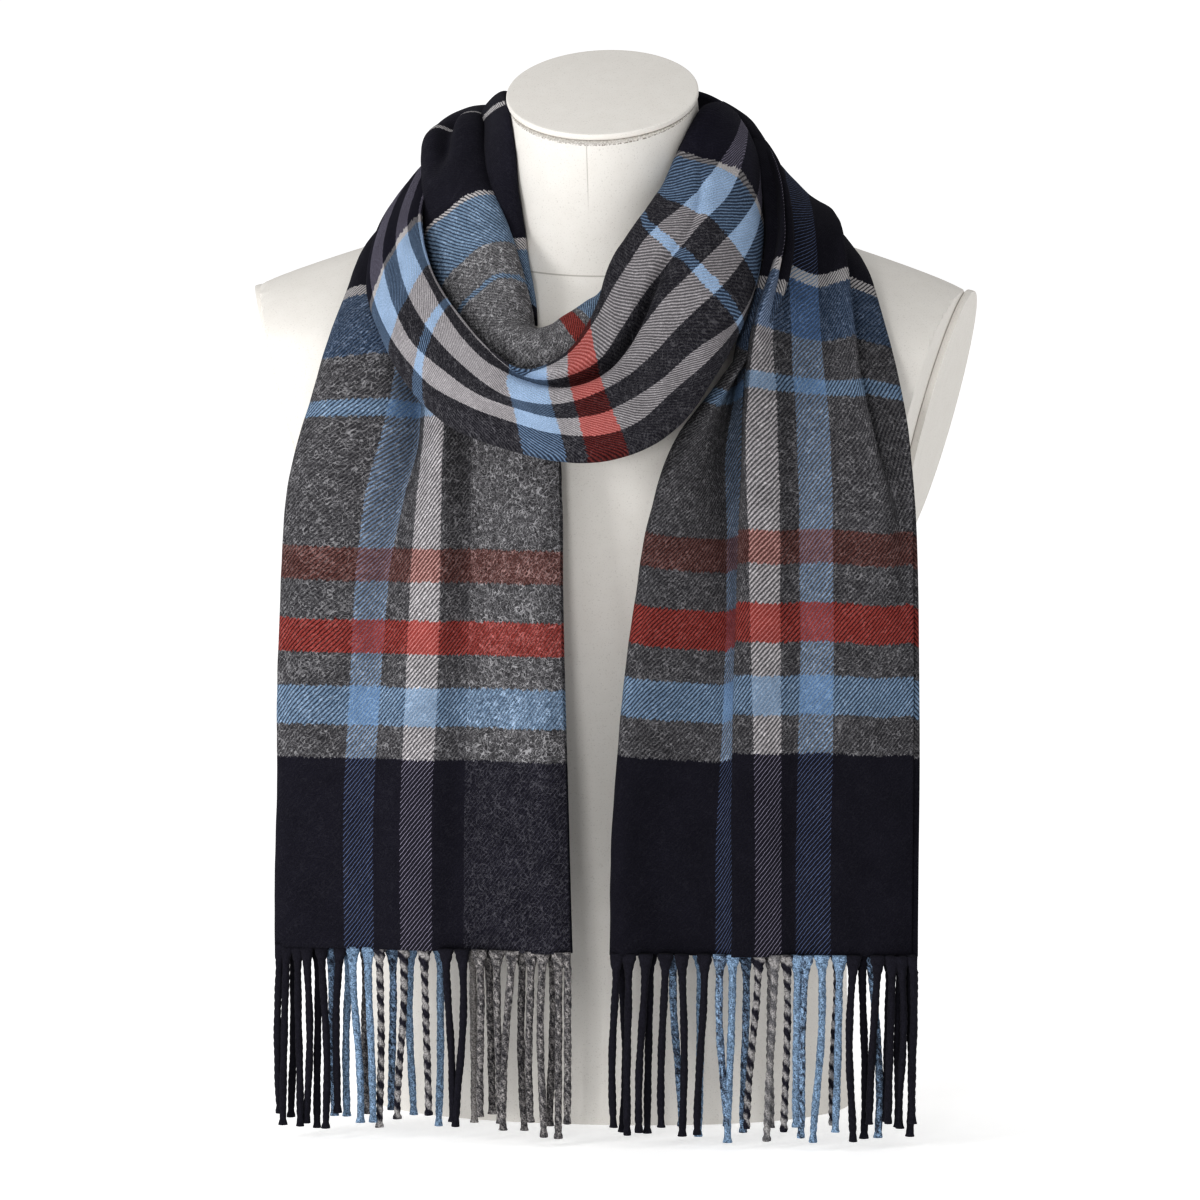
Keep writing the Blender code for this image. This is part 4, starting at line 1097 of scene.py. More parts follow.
def yarn_value(yarn, column):
    """What the yarn table says of a yarn in one column."""
    return YARNS[yarn][YARN_COLUMNS.index(column)]


def yarn_colour(yarn):
    """Linear colour of a yarn."""
    return linear(yarn_value(yarn, "sRGB"))


print(len(YARNS), "yarns")

# %% The form of one strand
STRAND_RADIUS = 0.0027    # from its middle to the outside of a ply
STRAND_RINGS = 64
STRAND_SIDES = 12
PLY_PITCH = 0.0105        # one full turn of the plies
ROOT_LIFT = 0.0015        # how far a strand starts up inside its hem
CUT_END = {               # how a strand swells at its tip and narrows just above it
    "swell": 0.22, "swell length": 0.0022, "waist": 0.12, "waist at": 0.005,
    "waist length": 0.002,
}
ROOT_SPREAD = 1.1         # how much wider a strand is where it leaves the hem
ROOT_LENGTH = 0.0080
DOWN = np.linspace(0.0, 1.0, STRAND_RINGS)
ROUND = np.linspace(0, 2 * pi, STRAND_SIDES, endpoint=False)


def strand_line(root, shift, drop, bow, sway, phase):
    """The middle of a strand from its root down, one point for each ring."""
    line = np.repeat(root[None], STRAND_RINGS, axis=0)
    line[:, 0] += shift * ease(DOWN) + bow * np.sin(pi * DOWN * 1.5 + phase)
    line[:, 1] += sway * DOWN + 0.0006 * np.sin(DOWN * 9 + phase)
    line[:, 2] += ROOT_LIFT - (drop + ROOT_LIFT) * DOWN
    return line


def strand_rings(drop, phase, turn, light):
    """Rings round a strand's middle: two plies, a wider root and a swollen, cut end."""
    left = (1 - DOWN) * drop
    flare = 1.0 + CUT_END["swell"] * np.exp(-(left / CUT_END["swell length"]) ** 2)
    from_waist = (left - CUT_END["waist at"]) / CUT_END["waist length"]
    flare = flare - CUT_END["waist"] * np.exp(-from_waist ** 2)
    flare *= 0.94 + 0.06 * np.sin(DOWN * 23 + phase)
    funnel = 1.0 + ROOT_SPREAD * np.exp(-(DOWN * drop / ROOT_LENGTH) ** 2)
    round_share = 0.66 if light else 0.84
    lobes = round_share + (1 - round_share) * np.abs(np.cos(ROUND[None] - turn))
    radius = STRAND_RADIUS * lobes * flare[:, None]
    across = np.cos(ROUND)[None] * radius * funnel[:, None]
    return np.stack((across, np.sin(ROUND)[None] * radius, np.zeros_like(radius)), axis=2)


def strand_faces(index):
    """Faces of a strand's closed tube, by its place among the strands."""
    first = index * STRAND_RINGS * STRAND_SIDES
    grid = first + np.arange(STRAND_RINGS * STRAND_SIDES).reshape(STRAND_RINGS, -1)
    beside = np.roll(grid, -1, axis=1)
    quads = np.stack((grid[:-1], grid[1:], beside[1:], beside[:-1]), axis=2)
    return quads.reshape(-1, 4).tolist() + [grid[0].tolist(), grid[-1][::-1].tolist()]


print(STRAND_RINGS, "rings of", STRAND_SIDES, "points on a strand")

# %% The colours of one strand
FIRST_GREY = (138, 135, 134)      # the two plies of a strand with charcoal yarn
SECOND_GREY = (58, 57, 60)
PAINTED_SHADE_ON_LIGHT_PLY = 0.5         # painted shade: a light ply is darkened to half, as it hangs between dark ones


def ply_colours(pair):
    """Linear colours of a strand's two plies, with painted shade on a light ply and on the second
    of two like plies.
    """
    first, second = (yarn_colour(yarn) * (PAINTED_SHADE_ON_LIGHT_PLY if yarn == "light" else 1.0)
                     for yarn in pair)
    if "charcoal" in pair:
        first, second = linear(FIRST_GREY), linear(SECOND_GREY)
    # painted shade: where both plies are one yarn, the second is a darker copy of the first, so
    # that the twist shows
    if pair[0] == pair[1]:
        second = first * (0.45 if pair[0] == "blue" else 0.75)
    return first, second


def strand_colours(pair, turn, phase, rng):
    """Each point's colour, with how mottled it is as alpha."""
    mix = rng.uniform(0.0, 1.0, (STRAND_RINGS, STRAND_SIDES))
    mottle = 0.25 if pair == ("navy", "navy") else 0.7 if pair[0] == pair[1] else 1.0
    if "light" in pair:
        slip = np.cumsum(rng.normal(0.0, 0.10, STRAND_RINGS))[:, None]
        wave = np.cos(ROUND[None] - turn + slip) + (mix - 0.5) * 1.1
        mix = ease((wave + 0.35 * np.sin(DOWN * 21 + phase)[:, None]) * 2.5 + 0.5)
        mottle = 0.6
    if "charcoal" in pair:
        mix = mix ** 1.6
    first, second = ply_colours(pair)
    mix = mix[..., None]
    shade = first * mix + second * (1 - mix)
    return np.concatenate((shade, np.full_like(mix, mottle)), axis=2)


print("a navy strand's plies:", ply_colours(("navy", "navy"))[1].round(4).tolist())


# %% Build the fringe
TIP_HEIGHT = (0.005, 0.019)       # least and most height of a strand's tip above the floor
BOW = (-0.0018, 0.0018)           # and how far it bows sideways
SWAY = (-0.004, 0.002)            # and how far it sways back
INSIDE_HEM = 0.010                # down to here a strand stays between the hem's two edges


def build_fringe(name, strands, hem, layer_out, seed):
    """All the strands of one layer of an end as one mesh."""
    rng = np.random.default_rng(seed)
    edge, far = np.array(hem[0]), np.array(hem[1])
    along = unit(far - edge)
    points, faces, colours = [], [], []
    for index, row in enumerate(strands):
        strand = dict(zip(STRAND_COLUMNS, row))
        pair = (strand["first yarn"], strand["second yarn"])
        root = edge + along * strand["root"] / 1000 + np.array((0, layer_out, 0))
        shift = (strand["end"] - strand["root"]) / 1000
        drop = HEM_HEIGHT - rng.uniform(*TIP_HEIGHT)
        bow = rng.uniform(*BOW)
        sway = rng.uniform(*SWAY)
        phase = rng.uniform(0, 2 * pi)
        turn = (2 * pi * DOWN * drop / PLY_PITCH + phase)[:, None]
        tube = strand_line(root, shift, drop, bow, sway, phase)[:, None]
        tube = tube + strand_rings(drop, phase, turn, "light" in pair)
        near_hem = DOWN * drop < INSIDE_HEM
        tube[near_hem, :, 0] = np.clip(tube[near_hem, :, 0], edge[0], far[0])
        points.append(tube)
        faces += strand_faces(index)
        colours.append(strand_colours(pair, turn, phase, rng))
    mesh = bpy.data.meshes.new(name)
    mesh.from_pydata(np.array(points).reshape(-1, 3).tolist(), [], faces)
    layer = mesh.color_attributes.new(name="yarn", type="FLOAT_COLOR", domain="POINT")
    layer.data.foreach_set("color", np.array(colours).reshape(-1))
    mesh.shade_smooth()
    mesh.update()
    return add_object(name, mesh)


print("a strand is", round(STRAND_RADIUS * 2000, 1), "mm thick")

# %% Hang the four layers of strands
LEFT_HEM = (LEFT_END[0][OUTER], LEFT_END[0][INNER])       # from the viewer's left
RIGHT_HEM = (RIGHT_END[-1][INNER], RIGHT_END[-1][OUTER])
LAYER_OUT = 0.0042        # how far a layer's strands are from the middle of the folded cloth
FRINGES = (     # node, strands, hem, how far back, seed
    ("fringe_left_front", LEFT_FRONT, LEFT_HEM, -LAYER_OUT, 5),
    ("fringe_left_back", LEFT_BACK, LEFT_HEM, LAYER_OUT, 6),
    ("fringe_right_front", RIGHT_FRONT, RIGHT_HEM, -LAYER_OUT, 7),
    ("fringe_right_back", RIGHT_BACK, RIGHT_HEM, LAYER_OUT, 8),
)
fringes = {}
for node, strands, hem, layer_out, seed in FRINGES:
    name = node.replace("fringe_", "") + "_strands"
    fringes[node] = build_fringe(name, strands, hem, layer_out, seed)
    print(f"{name}: {len(strands)} strands")

# %% [markdown]
# ## The weave
# A picture of a check could be wrapped over the sheets, but it would blur close up and be
# hard to change. So a material works it out from each point's place on the cloth: a table of
# stripes by the distance across it, and a table of bands by the distance along it. A twill
# shows warp and weft in turn on slanting lines, so where a band crosses a stripe the colours
# mix in fine diagonals. The helpers that come first make a material or add a node to it, so
# that the recipes after them read like sums.

# %% Node helpers
def plain_material(name, looks):
    """A new material with these values on its shader, and its node tree."""
    material = bpy.data.materials.new(name)
    material.use_nodes = True
    tree = material.node_tree
    for key, value in looks.items():
        tree.nodes["Principled BSDF"].inputs[key].default_value = value
    return material, tree


def calc(tree, operation, first, second=None, third=None):
    """A math node on numbers or sockets; returns its result."""
    node = tree.nodes.new("ShaderNodeMath")
    node.operation = operation
    for socket, value in zip(node.inputs, (first, second, third)):
        if value is None:
            continue
        if isinstance(value, (int, float)):
            socket.default_value = value
        else:
            tree.links.new(value, socket)
    return node.outputs[0]


def rescale(tree, value, low, high, to_low, to_high):
    """A value's range turned into another, held inside it."""
    node = tree.nodes.new("ShaderNodeMapRange")
    tree.links.new(value, node.inputs["Value"])
    for key, number in (("From Min", low), ("From Max", high),
                        ("To Min", to_low), ("To Max", to_high)):
        node.inputs[key].default_value = number
    return node.outputs[0]


def grain(tree, vector, scale, detail=1.0, distortion=0.0, stretch=None):
    """Noise on a vector, which can be stretched first."""
    if stretch:
        mapping = tree.nodes.new("ShaderNodeMapping")
        mapping.inputs["Scale"].default_value = stretch
        tree.links.new(vector, mapping.inputs["Vector"])
        vector = mapping.outputs[0]
    node = tree.nodes.new("ShaderNodeTexNoise")
    tree.links.new(vector, node.inputs["Vector"])
    node.inputs["Scale"].default_value = scale
    node.inputs["Detail"].default_value = detail
    node.inputs["Distortion"].default_value = distortion
    return node.outputs[0]


print("helpers ready; navy is", yarn_colour("navy").round(4).tolist(), "in linear colour")


# %% Helpers that take colours apart and mix them
def split(tree, vector):
    """The three parts of a vector."""
    node = tree.nodes.new("ShaderNodeSeparateXYZ")
    tree.links.new(vector, node.inputs[0])
    return tuple(node.outputs)


def split_colour(tree, colour):
    """Hue, saturation and value of a colour."""
    node = tree.nodes.new("ShaderNodeSeparateColor")
    node.mode = "HSV"
    tree.links.new(colour, node.inputs[0])
    return tuple(node.outputs)


def blend_colours(tree, share, first, second, how="MIX"):
    """Two colours mixed by a share."""
    node = tree.nodes.new("ShaderNodeMix")
    node.data_type = "RGBA"
    node.blend_type = how
    sockets = (node.inputs[0], node.inputs[6], node.inputs[7])     # share and two colours
    for socket, value in zip(sockets, (share, first, second)):
        if isinstance(value, (int, float, tuple)):
            socket.default_value = value
        else:
            tree.links.new(value, socket)
    return node.outputs[2]


def spread(tree, value):
    """One number as a grey colour."""
    node = tree.nodes.new("ShaderNodeCombineColor")
    for socket in node.inputs:
        tree.links.new(value, socket)
    return node.outputs[0]


# %% Yarns by their place, and relief
def yarn_ramp(tree, place, first, table, column):
    """Yarn colours along a place in metres, with hard edges; alpha is a value of the yarn."""
    last = table[-1][1]
    share = rescale(tree, place, first, last, 0.0, 1.0)
    node = tree.nodes.new("ShaderNodeValToRGB")
    node.color_ramp.interpolation = "CONSTANT"
    stops = node.color_ramp.elements
    start = first
    for index, (yarn, end) in enumerate(table):
        position = (start - first) / (last - first)
        stop = stops[0] if index == 0 else stops.new(position)
        stop.position = position
        stop.color = (*yarn_colour(yarn), yarn_value(yarn, column))
        start = end
    while len(stops) > len(table):
        stops.remove(stops[-1])
    tree.links.new(share, node.inputs[0])
    return tuple(node.outputs)


def roughen(tree, height, strength, distance):
    """Fine relief on a material, from a height."""
    bump = tree.nodes.new("ShaderNodeBump")
    bump.inputs["Strength"].default_value = strength
    bump.inputs["Distance"].default_value = distance
    tree.links.new(height, bump.inputs["Height"])
    tree.links.new(bump.outputs[0], tree.nodes["Principled BSDF"].inputs["Normal"])


# %% Twill
FACE, BACK = "warp on the face", "warp on the back"     # which side of the cloth shows
TWILL_PITCH = 0.0021      # from one slanting ridge to the next


def twill_ridges(tree, weave, slant):
    """The twill's slanting ridges: 1 along their tops and 0 between them."""
    u, v, _ = split(tree, weave)
    phase = calc(tree, "MULTIPLY", u, cos(radians(slant)) / TWILL_PITCH)
    phase = calc(tree, "MULTIPLY_ADD", v, sin(radians(slant)) / TWILL_PITCH, phase)
    wobble = calc(tree, "SUBTRACT", grain(tree, weave, 300, 2), 0.5)
    phase = calc(tree, "MULTIPLY_ADD", wobble, 0.45, phase)
    return calc(tree, "MULTIPLY", calc(tree, "PINGPONG", phase, 0.5), 2.0)


def stained(tree, warp, weft, lift):
    """Warp as it shows between weft yarns: tinted by their colour."""
    hue, saturation, _ = split_colour(tree, weft)
    tint = tree.nodes.new("ShaderNodeCombineColor")
    tint.mode = "HSV"
    tree.links.new(hue, tint.inputs[0])
    tree.links.new(calc(tree, "MULTIPLY", saturation, 0.75), tint.inputs[1])
    tree.links.new(calc(tree, "MULTIPLY_ADD", saturation, lift, 1.0), tint.inputs[2])
    return blend_colours(tree, 1.0, warp, tint.outputs[0], "MULTIPLY")


print("twill ridges", TWILL_PITCH * 1000, "mm apart")

# %% [markdown]
# ## The nap
# Brushing lifts short fibres out of the weft, and most of all out of the grey yarn, so the
# check looks soft where it is pale and crisp where it is navy. Real hairs over the whole
# cloth would be slow to draw. So thin curly lines of a noise texture lie over the weave, and
# a fine relief makes them catch the light.

# %% Nap
PALE_CURLS = ((190, 0.028, 1.0), (270, 0.033, 1.2), (230, 0.028, 1.6))   # scale, width, curl


def nap_fibres(tree, weave, warp_nap, nap):
    """The nap's short fibres: straight ones on the warp and pale curls over it all."""
    straight = grain(tree, weave, 800, 1, 0.4, (1.0, 0.32, 1.0))
    fibres = calc(tree, "MULTIPLY", warp_nap, rescale(tree, straight, 0.60, 0.70, 0.0, 0.5))
    for scale, width, curl in PALE_CURLS:
        curls = grain(tree, weave, scale, 0.4, curl)
        line = calc(tree, "ABSOLUTE", calc(tree, "SUBTRACT", curls, 0.5))
        line = rescale(tree, line, width * 0.4, width, 1.0, 0.0)
        gate = rescale(tree, grain(tree, weave, scale * 0.55, 0), 0.34, 0.56, 0.30, 1.0)
        fibres = calc(tree, "MAXIMUM", fibres, calc(tree, "MULTIPLY", line, gate))
    return calc(tree, "MULTIPLY", fibres, nap)


def cloth_tone(tree, weave, flecks, nap, shade):
    """How light the cloth is: flecks of yarn, broad patches times shade, a painted shade, and
    painted shade in the nap's hollows.
    """
    tone = rescale(tree, flecks, 0.25, 0.75, 0.62, 1.38)
    # painted shade: shade scales the broad patches, so it darkens the whole cloth
    broad = rescale(tree, grain(tree, weave, 45, 3), 0.3, 0.7, 0.90 * shade, 1.10 * shade)
    tone = calc(tree, "MULTIPLY", tone, broad)
    # painted shade: random hollows in the nap darken it, most where the nap is thickest
    painted_hollow_shade = rescale(tree, grain(tree, weave, 420, 2, 0.8), 0.34, 0.62, 0.42, 0.86)
    painted_hollow_shade = calc(tree, "MULTIPLY_ADD", calc(tree, "SUBTRACT", painted_hollow_shade, 1.0), nap, 1.0)
    return calc(tree, "MULTIPLY", tone, painted_hollow_shade)


print(len(PALE_CURLS), "sizes of pale curls")

# %% [markdown]
# ## Warp, weft and nap together
# The yarns cross in one recipe: find the warp and the weft at a place, let the twill's ridges
# choose between them, and lay the nap on top. Each stretch of the scarf could share one
# material, but the folds show different stripes, so each gets its own tables. The ends show
# the cloth's face; the loop shows its back, where warp and weft mix more softly.
# The ends and the loop are each darkened as a whole by a painted shade, the right end most.

# %% A woven cloth
FRAY_ACROSS = 0.0022      # how far a yarn's edge strays, in metres
FRAY_ALONG = 0.0052
SHARE_OF_WEFT = {         # how softly warp and weft change, and the least and most weft seen
    FACE: (0.12, 0.03, 0.98),
    BACK: (0.26, 0.14, 0.86),
}
WOOL = {"Roughness": 0.95, "Specular IOR Level": 0.06, "Sheen Weight": 0.03,
        "Sheen Roughness": 0.5}


def woven(name, warps, warp_start, wefts, weft_start, slant, side=FACE, fuzz=1.0, shade=1.0):
    """A brushed twill of warp stripes and weft bands; slant is the twill's, in degrees, and shade
    a painted shade that darkens all of it.
    """
    material, tree = plain_material(name, WOOL)
    weave = tree.nodes.new("ShaderNodeUVMap")
    weave.uv_map = "weave"
    weave = weave.outputs[0]
    u, v, _ = split(tree, weave)

    fray_u = calc(tree, "SUBTRACT", grain(tree, weave, 900, 1, stretch=(0.15, 1.0, 1.0)), 0.5)
    fray_v = calc(tree, "SUBTRACT", grain(tree, weave, 800, 1, stretch=(1.0, 0.15, 1.0)), 0.5)
    u_edge = calc(tree, "MULTIPLY_ADD", fray_u, FRAY_ACROSS, u)
    v_edge = calc(tree, "MULTIPLY_ADD", fray_v, FRAY_ALONG, v)
    warp, warp_nap = yarn_ramp(tree, u_edge, warp_start, warps, "nap")
    weft, weft_nap = yarn_ramp(tree, v_edge, weft_start, wefts, "nap")
    show = yarn_ramp(tree, v_edge, weft_start, wefts, side)[1]
    nap = calc(tree, "MULTIPLY", calc(tree, "MULTIPLY_ADD", weft_nap, 2.0, warp_nap), 0.34 * fuzz)

    ridge = twill_ridges(tree, weave, slant)
    soft, least, most = SHARE_OF_WEFT[side]
    share = rescale(tree, calc(tree, "SUBTRACT", ridge, show), -soft, soft, least, most)
    dark = rescale(tree, split_colour(tree, warp)[2], 0.10, 0.42, 1.0, 0.0)
    nap = calc(tree, "MULTIPLY", nap, calc(tree, "MULTIPLY_ADD", dark, 0.5, 0.5))
    if side == BACK:
        share = calc(tree, "MULTIPLY", share, calc(tree, "MULTIPLY_ADD", dark, -0.45, 1.0))
    else:
        veil = calc(tree, "MULTIPLY", dark, calc(tree, "MULTIPLY", nap, 0.62))
        share = calc(tree, "MULTIPLY_ADD", calc(tree, "SUBTRACT", 0.92, share), veil, share)
    under = stained(tree, warp, weft, lift=0.2 if side == BACK else 0.0)
    cloth = blend_colours(tree, share, under, weft)

    flecks = grain(tree, weave, 1300, 3)
    fibres = nap_fibres(tree, weave, warp_nap, nap)
    tone = cloth_tone(tree, weave, flecks, nap, shade)
    tone = calc(tree, "MULTIPLY_ADD", fibres, 1.05, tone)
    cloth = blend_colours(tree, 1.0, cloth, spread(tree, tone), "MULTIPLY")
    # the pale fibres are dimmed by the same painted shade
    pale = spread(tree, calc(tree, "MULTIPLY", fibres, 0.17 * shade))
    cloth = blend_colours(tree, 1.0, cloth, pale, "ADD")
    tree.links.new(cloth, tree.nodes["Principled BSDF"].inputs["Base Color"])

    relief = calc(tree, "MULTIPLY_ADD", ridge, 0.35, calc(tree, "MULTIPLY", fibres, 0.8))
    roughen(tree, calc(tree, "MULTIPLY_ADD", flecks, 0.8, relief), 0.55, 0.0006)
    return material


END_BANDS = (             # weft yarn and where it ends, in metres along the cloth
    ("navy", 0.1215), ("grey", 0.1445), ("blue", 0.1690), ("grey", 0.1895), ("red", 0.2135),
    ("grey", 0.2375), ("rust", 0.2580), ("grey", 0.3445), ("blue", 0.3555), ("grey", 0.3840),
    ("deep", 0.4360), ("light", 0.4450), ("navy", 0.90),
)
RIGHT_END_BANDS = (
    ("navy", 0.1308), ("grey", 0.1545), ("blue", 0.1795), ("grey", 0.2020), ("red", 0.2258),
    ("grey", 0.2500), ("rust", 0.2715), ("grey", 0.3640), ("blue", 0.3745), ("grey", 0.4035),
    ("deep", 0.4455), ("light", 0.4565), ("navy", 0.90),
)
LEFT_STRIPES = (          # warp yarn and where it ends, in metres across from the fold
    ("navy", -0.150), ("blue", -0.128), ("navy", -0.112), ("light", -0.092), ("navy", -0.074),
    ("blue", -0.052), ("navy", 0.0455), ("blue", 0.0655), ("navy", 0.0843), ("light", 0.1043),
    ("navy", 0.125), ("charcoal", 0.26),
)
RIGHT_STRIPES = (
    ("navy", -0.150), ("blue", -0.128), ("navy", 0.067), ("blue", 0.0870), ("navy", 0.105),
    ("light", 0.1215), ("navy", 0.133), ("blue", 0.1542), ("navy", 0.30),
)
END_SLANT = -38
# painted shade: the left end is darkened to 0.9 and the right end to 0.78, and the right end's
# thinner nap (fuzz 0.8) is part of the same painted shade
left_cloth = woven("left end weave", LEFT_STRIPES, -0.26, END_BANDS, -0.02, END_SLANT,
                   shade=0.9)
right_cloth = woven("right end weave", RIGHT_STRIPES, -0.26, RIGHT_END_BANDS, -0.02, END_SLANT,
                    fuzz=0.8, shade=0.78)
print("bands on an end:", ", ".join(yarn for yarn, _ in END_BANDS))

# %% The check round the neck
LOOP_WARPS = (
    ("navy", 0.008), ("light", 0.027), ("navy", 0.045), ("light", 0.066), ("navy", 0.084),
    ("light", 0.104), ("navy", 0.30),
)
ALL_NAVY = (("navy", 0.20),)
NAPE_INNER_STRIPES = (("navy", 0.03), ("light", 0.05), ("navy", 0.3))
NAPE_INNER_BANDS = (
    ("navy", 0.020), ("light", 0.028), ("blue", 0.067), ("grey", 0.097), ("blue", 0.107),
    ("grey", 0.195), ("rust", 0.217), ("navy", 0.60),
)
NAPE_OUTER_STRIPES = (
    ("navy", 0.054), ("light", 0.062), ("navy", 0.067), ("blue", 0.086), ("navy", 0.20),
)
NAPE_OUTER_BANDS = (("navy", 0.110), ("light", 0.118), ("navy", 0.60))
SLANT = 35


def bands_of(table, last_yarn, blue="blue"):
    """A weft table out of a bands table, with the yarn after its last edge."""
    bands = tuple((blue if band[0] == "blue" else band[0], band[1]) for band in table)
    return bands + ((last_yarn, table[-1][1] + 0.4),)


# painted shade: the whole loop is darkened to 0.86
loop_cloth = woven("loop weave", LOOP_WARPS, -0.20, bands_of(LOOP_BANDS, "navy", "sky"), -0.30,
                   SLANT, BACK, fuzz=0.6, shade=0.86)
roll_cloth = woven("roll weave", ALL_NAVY, -0.20, bands_of(ROLL_BANDS, "navy"), -0.40, SLANT)
strip_cloth = woven("strip weave", ALL_NAVY, -0.20, bands_of(STRIP_BANDS, "navy"), -0.40, SLANT)
nape_inner_cloth = woven("inner nape weave", NAPE_INNER_STRIPES, -0.02, NAPE_INNER_BANDS, -0.02,
                         SLANT)
nape_outer_cloth = woven("outer nape weave", NAPE_OUTER_STRIPES, -0.02, NAPE_OUTER_BANDS, -0.02,
                         SLANT)
print("weaves:", ", ".join(m.name for m in bpy.data.materials if m.name.endswith("weave")))

# %% [markdown]
# ## Yarn of the fringe
# A strand shows its plies and a fuzz of fine fibres. Each ply could have a material of its
# own, but then every strand would need its faces sorted by ply. The colours already lie on
# the strands' points, so one material reads them there and mottles them as much as alpha says.

# %% Fringe yarn
YARN_LOOKS = {"Roughness": 0.95, "Specular IOR Level": 0.12, "Sheen Weight": 0.04}


def yarn_material():
    """Twisted wool yarn, coloured by each ply's own colour."""
    material, tree = plain_material("fringe yarn", YARN_LOOKS)
    colour = tree.nodes.new("ShaderNodeAttribute")
    colour.attribute_name = "yarn"
    place = tree.nodes.new("ShaderNodeTexCoord").outputs["Object"]
    fine = grain(tree, place, 1150, 3)
    tone = rescale(tree, fine, 0.34, 0.66, -0.75, 1.25)
    tone = calc(tree, "MULTIPLY_ADD", tone, colour.outputs["Alpha"], 1.0)
    colours = blend_colours(tree, 1.0, colour.outputs[0], spread(tree, tone), "MULTIPLY")
    tree.links.new(colours, tree.nodes["Principled BSDF"].inputs["Base Color"])
    roughen(tree, fine, 0.5, 0.0005)
    return material


yarn = yarn_material()
print("material:", yarn.name)

# %% [markdown]
# ## The form's cover
# The form wears matt off-white jersey, with a seam where the neck begins, a stitched one
# round its rim and a short one up its front. Seams could be modelled as ridges, but they are
# under a millimetre wide, so they are thin darker lines at known heights along the neck.

# %% Seams of the form's cover
COVER_LOOKS = {"Roughness": 0.82, "Specular IOR Level": 0.25}
COVER_LIGHT = (229, 226, 221)
COVER_DARK = (212, 207, 200)
SPECK = (120, 112, 102)
SEAM = (110, 100, 90)
STITCH = (96, 84, 72)
BASE_SEAM = 0.5865        # heights along the leaning neck
RIM_SEAM = 0.6806
FRONT_SEAM = 0.0035       # how far left of the middle the front seam is


def opaque(srgb):
    """sRGB bytes as a colour for a socket."""
    return (*linear(srgb), 1.0)


def seam_mask(tree, distance, width):
    """1 on a line and 0 off it."""
    return rescale(tree, calc(tree, "ABSOLUTE", distance), width * 0.4, width, 1.0, 0.0)


def neck_seams(tree, place):
    """The plain seams at the neck's base and up its front, and the stitched one at its rim."""
    x, y, z = split(tree, place)
    lean = calc(tree, "MULTIPLY_ADD", y, -tan(radians(NECK_TILT)), z)     # height up the neck
    base_seam = seam_mask(tree, calc(tree, "SUBTRACT", lean, BASE_SEAM), 0.0006)
    rim_seam = seam_mask(tree, calc(tree, "SUBTRACT", lean, RIM_SEAM), 0.0007)
    dots = rescale(tree, grain(tree, place, 900, 2), 0.42, 0.60, 0.0, 1.0)
    front_seam = seam_mask(tree, calc(tree, "ADD", x, FRONT_SEAM), 0.0005)
    above = rescale(tree, lean, 0.630, 0.655, 0.0, 1.0)
    below = rescale(tree, lean, 0.6795, 0.6805, 1.0, 0.0)
    front = rescale(tree, y, -0.03, -0.02, 1.0, 0.0)
    front_seam = calc(tree, "MULTIPLY", front_seam, calc(tree, "MULTIPLY", above, below))
    front_seam = calc(tree, "MULTIPLY", front_seam, front)
    plain = calc(tree, "MAXIMUM", calc(tree, "MULTIPLY", base_seam, 0.45),
                 calc(tree, "MULTIPLY", front_seam, 0.35))
    return plain, calc(tree, "MULTIPLY", rim_seam, dots)


print("seams on the neck, which leans", NECK_TILT, "degrees")


# %% Form cover
def canvas_material():
    """The form's matt off-white cover, with fine specks and the seams round its neck."""
    material, tree = plain_material("form cover", COVER_LOOKS)
    place = tree.nodes.new("ShaderNodeTexCoord").outputs["Object"]
    seams, stitches = neck_seams(tree, place)
    specks = rescale(tree, grain(tree, place, 1100, 2), 0.60, 0.72, 0.0, 0.20)
    mottle = rescale(tree, grain(tree, place, 90, 4), 0.3, 0.7, 0.0, 0.16)
    cover = blend_colours(tree, mottle, opaque(COVER_LIGHT), opaque(COVER_DARK))
    cover = blend_colours(tree, specks, cover, opaque(SPECK))
    cover = blend_colours(tree, seams, cover, opaque(SEAM))
    cover = blend_colours(tree, calc(tree, "MULTIPLY", stitches, 0.75), cover, opaque(STITCH))
    tree.links.new(cover, tree.nodes["Principled BSDF"].inputs["Base Color"])
    height = calc(tree, "MULTIPLY_ADD", grain(tree, place, 700, 3), 0.5,
                  calc(tree, "MULTIPLY", seams, -1.0))
    roughen(tree, height, 0.25, 0.0004)
    return material


canvas = canvas_material()
print("material:", canvas.name)

# %% [markdown]
# ## Every piece in its place on the part
# A piece of the scene has to say which solid of the imported part it stands for, or the part
# would be drawn twice. It could be told piece by piece, but one table shows at a glance which
# material, slot and solid each has. The strip at the neck stands for no solid of its own.

# %% Put every piece in its material and tie it to the part
DRESSED = (     # piece, material, slot and the nodes that it replaces
    (form_skin, canvas, "form_cover", ("form_body",)),
    (neck_cap, canvas, "form_cover", ("form_neck_cap",)),
    (arm_plate_right, canvas, "form_cover", ("form_arm_plate_right",)),
    (arm_plate_left, canvas, "form_cover", ("form_arm_plate_left",)),
    (left_end, left_cloth, "scarf_cloth", ("left_end",)),
    (right_end, right_cloth, "scarf_cloth", ("right_end",)),
    (front_loop, loop_cloth, "scarf_cloth", ("front_loop",)),
    (front_roll, roll_cloth, "scarf_cloth", ("front_roll",)),
    (neck_strip, strip_cloth, "scarf_cloth", ()),
    (nape_inner, nape_inner_cloth, "scarf_cloth", ("nape_inner",)),
    (nape_outer, nape_outer_cloth, "scarf_cloth", ("nape_outer",)),
) + tuple((piece, yarn, "fringe_yarn", (node,)) for node, piece in fringes.items())
for piece, material, slot, nodes in DRESSED:
    piece.data.materials.append(material)
    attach(piece, "root")
    if nodes:
        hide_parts(*nodes)
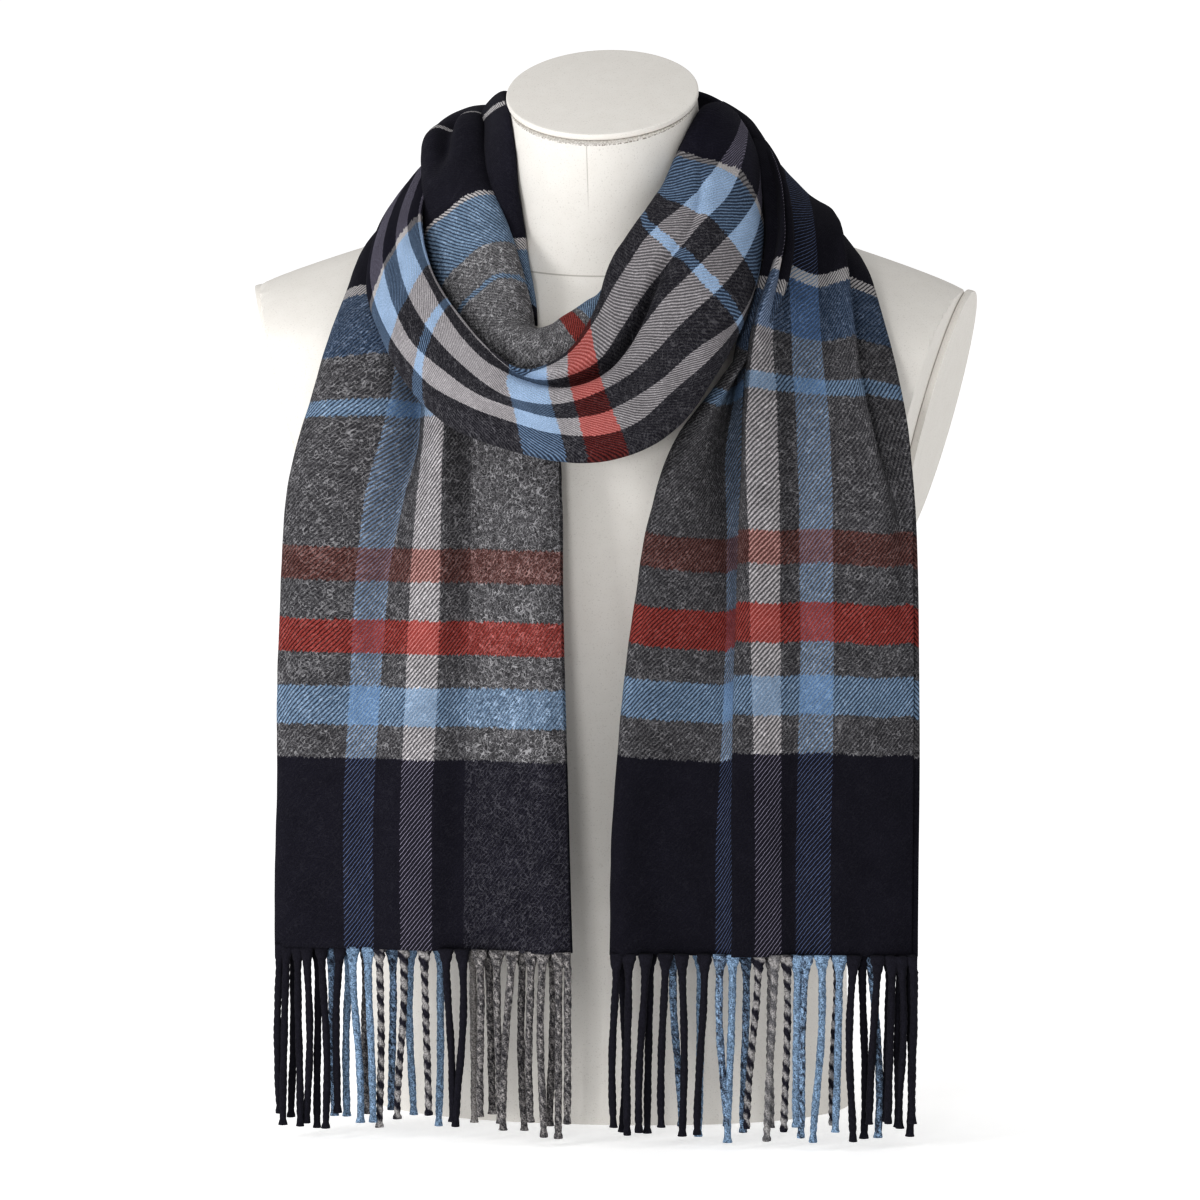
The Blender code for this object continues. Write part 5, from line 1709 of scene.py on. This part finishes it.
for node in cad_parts.values():
    node.hide_render = True
    node.hide_viewport = True
print(len(DRESSED), "pieces tied to the part")

# %% [markdown]
# ## Floor, light and camera
# The form stands in a bright, plain room, where shadows are pale and the floor runs on out
# of sight. A lit studio could be modelled with its walls and lamps, but only what they do to
# the cloth matters. So the floor is wide and pale, a light from the left draws the folds, a
# wider one from the front fills them, and the world round it all is pale, darker overhead.
# The camera stands far back behind a long lens, so near and far folds keep their true size.

# %% Floor
FLOOR_LOOKS = {
    "Base Color": (0.80, 0.80, 0.80, 1.0), "Roughness": 0.9, "Specular IOR Level": 0.1,
    "Emission Color": (1.0, 1.0, 1.0, 1.0), "Emission Strength": 0.33,
}


def make_floor():
    """A wide pale floor."""
    bm = bmesh.new()
    bmesh.ops.create_grid(bm, x_segments=1, y_segments=1, size=40.0)
    mesh = bpy.data.meshes.new("floor")
    bm.to_mesh(mesh)
    bm.free()
    mesh.materials.append(plain_material("floor paint", FLOOR_LOOKS)[0])
    add_object("floor", mesh)


make_floor()
print("floor laid")

# %% Light
LIGHTS_LOOK_AT = Vector((0, 0, 0.35))


def aim(thing, place, target):
    """Put a light or the camera at a place and turn it towards a target."""
    thing.location = place
    thing.rotation_euler = (target - thing.location).to_track_quat("-Z", "Y").to_euler()


def area_light(name, place, size, power):
    """A soft square light that looks at the scarf."""
    lamp = bpy.data.lights.new(name, "AREA")
    lamp.shape = "SQUARE"
    lamp.size = size
    lamp.energy = power
    aim(add_object(name, lamp), place, LIGHTS_LOOK_AT)


def pale_world():
    """White at the height of the eye, and darker overhead, so that folds keep their shade."""
    world = bpy.data.worlds.new("pale world")
    bpy.context.scene.world = world
    world.use_nodes = True
    tree = world.node_tree
    place = tree.nodes.new("ShaderNodeTexCoord").outputs["Generated"]
    share = rescale(tree, split(tree, place)[2], 0.2, 0.7, 0.36, 0.54)
    tree.links.new(spread(tree, share), tree.nodes["Background"].inputs["Color"])
    tree.nodes["Background"].inputs["Strength"].default_value = 1.0


area_light("key light", (-1.55, -1.45, 0.90), 0.55, 11.5)
area_light("front light", (-0.3, -4.1, 0.70), 0.6, 26.0)
pale_world()
print("lights:", len(bpy.data.lights))

# %% Camera
CAMERA_PLACE = Vector((0.50206, -4.44190, 0.85522))
CAMERA_TARGET = Vector((-0.00397, -0.00045, 0.3380))
camera = bpy.data.cameras.new("camera")
camera.lens = 203.0
camera.sensor_width = 36.0
camera.clip_end = 120.0
camera_object = add_object("camera", camera)
aim(camera_object, CAMERA_PLACE, CAMERA_TARGET)
bpy.context.scene.camera = camera_object
bpy.context.scene.view_settings.view_transform = "Standard"
bpy.context.scene.view_settings.look = "High Contrast"
print("camera", round((CAMERA_TARGET - CAMERA_PLACE).length, 2), "m from the scarf")
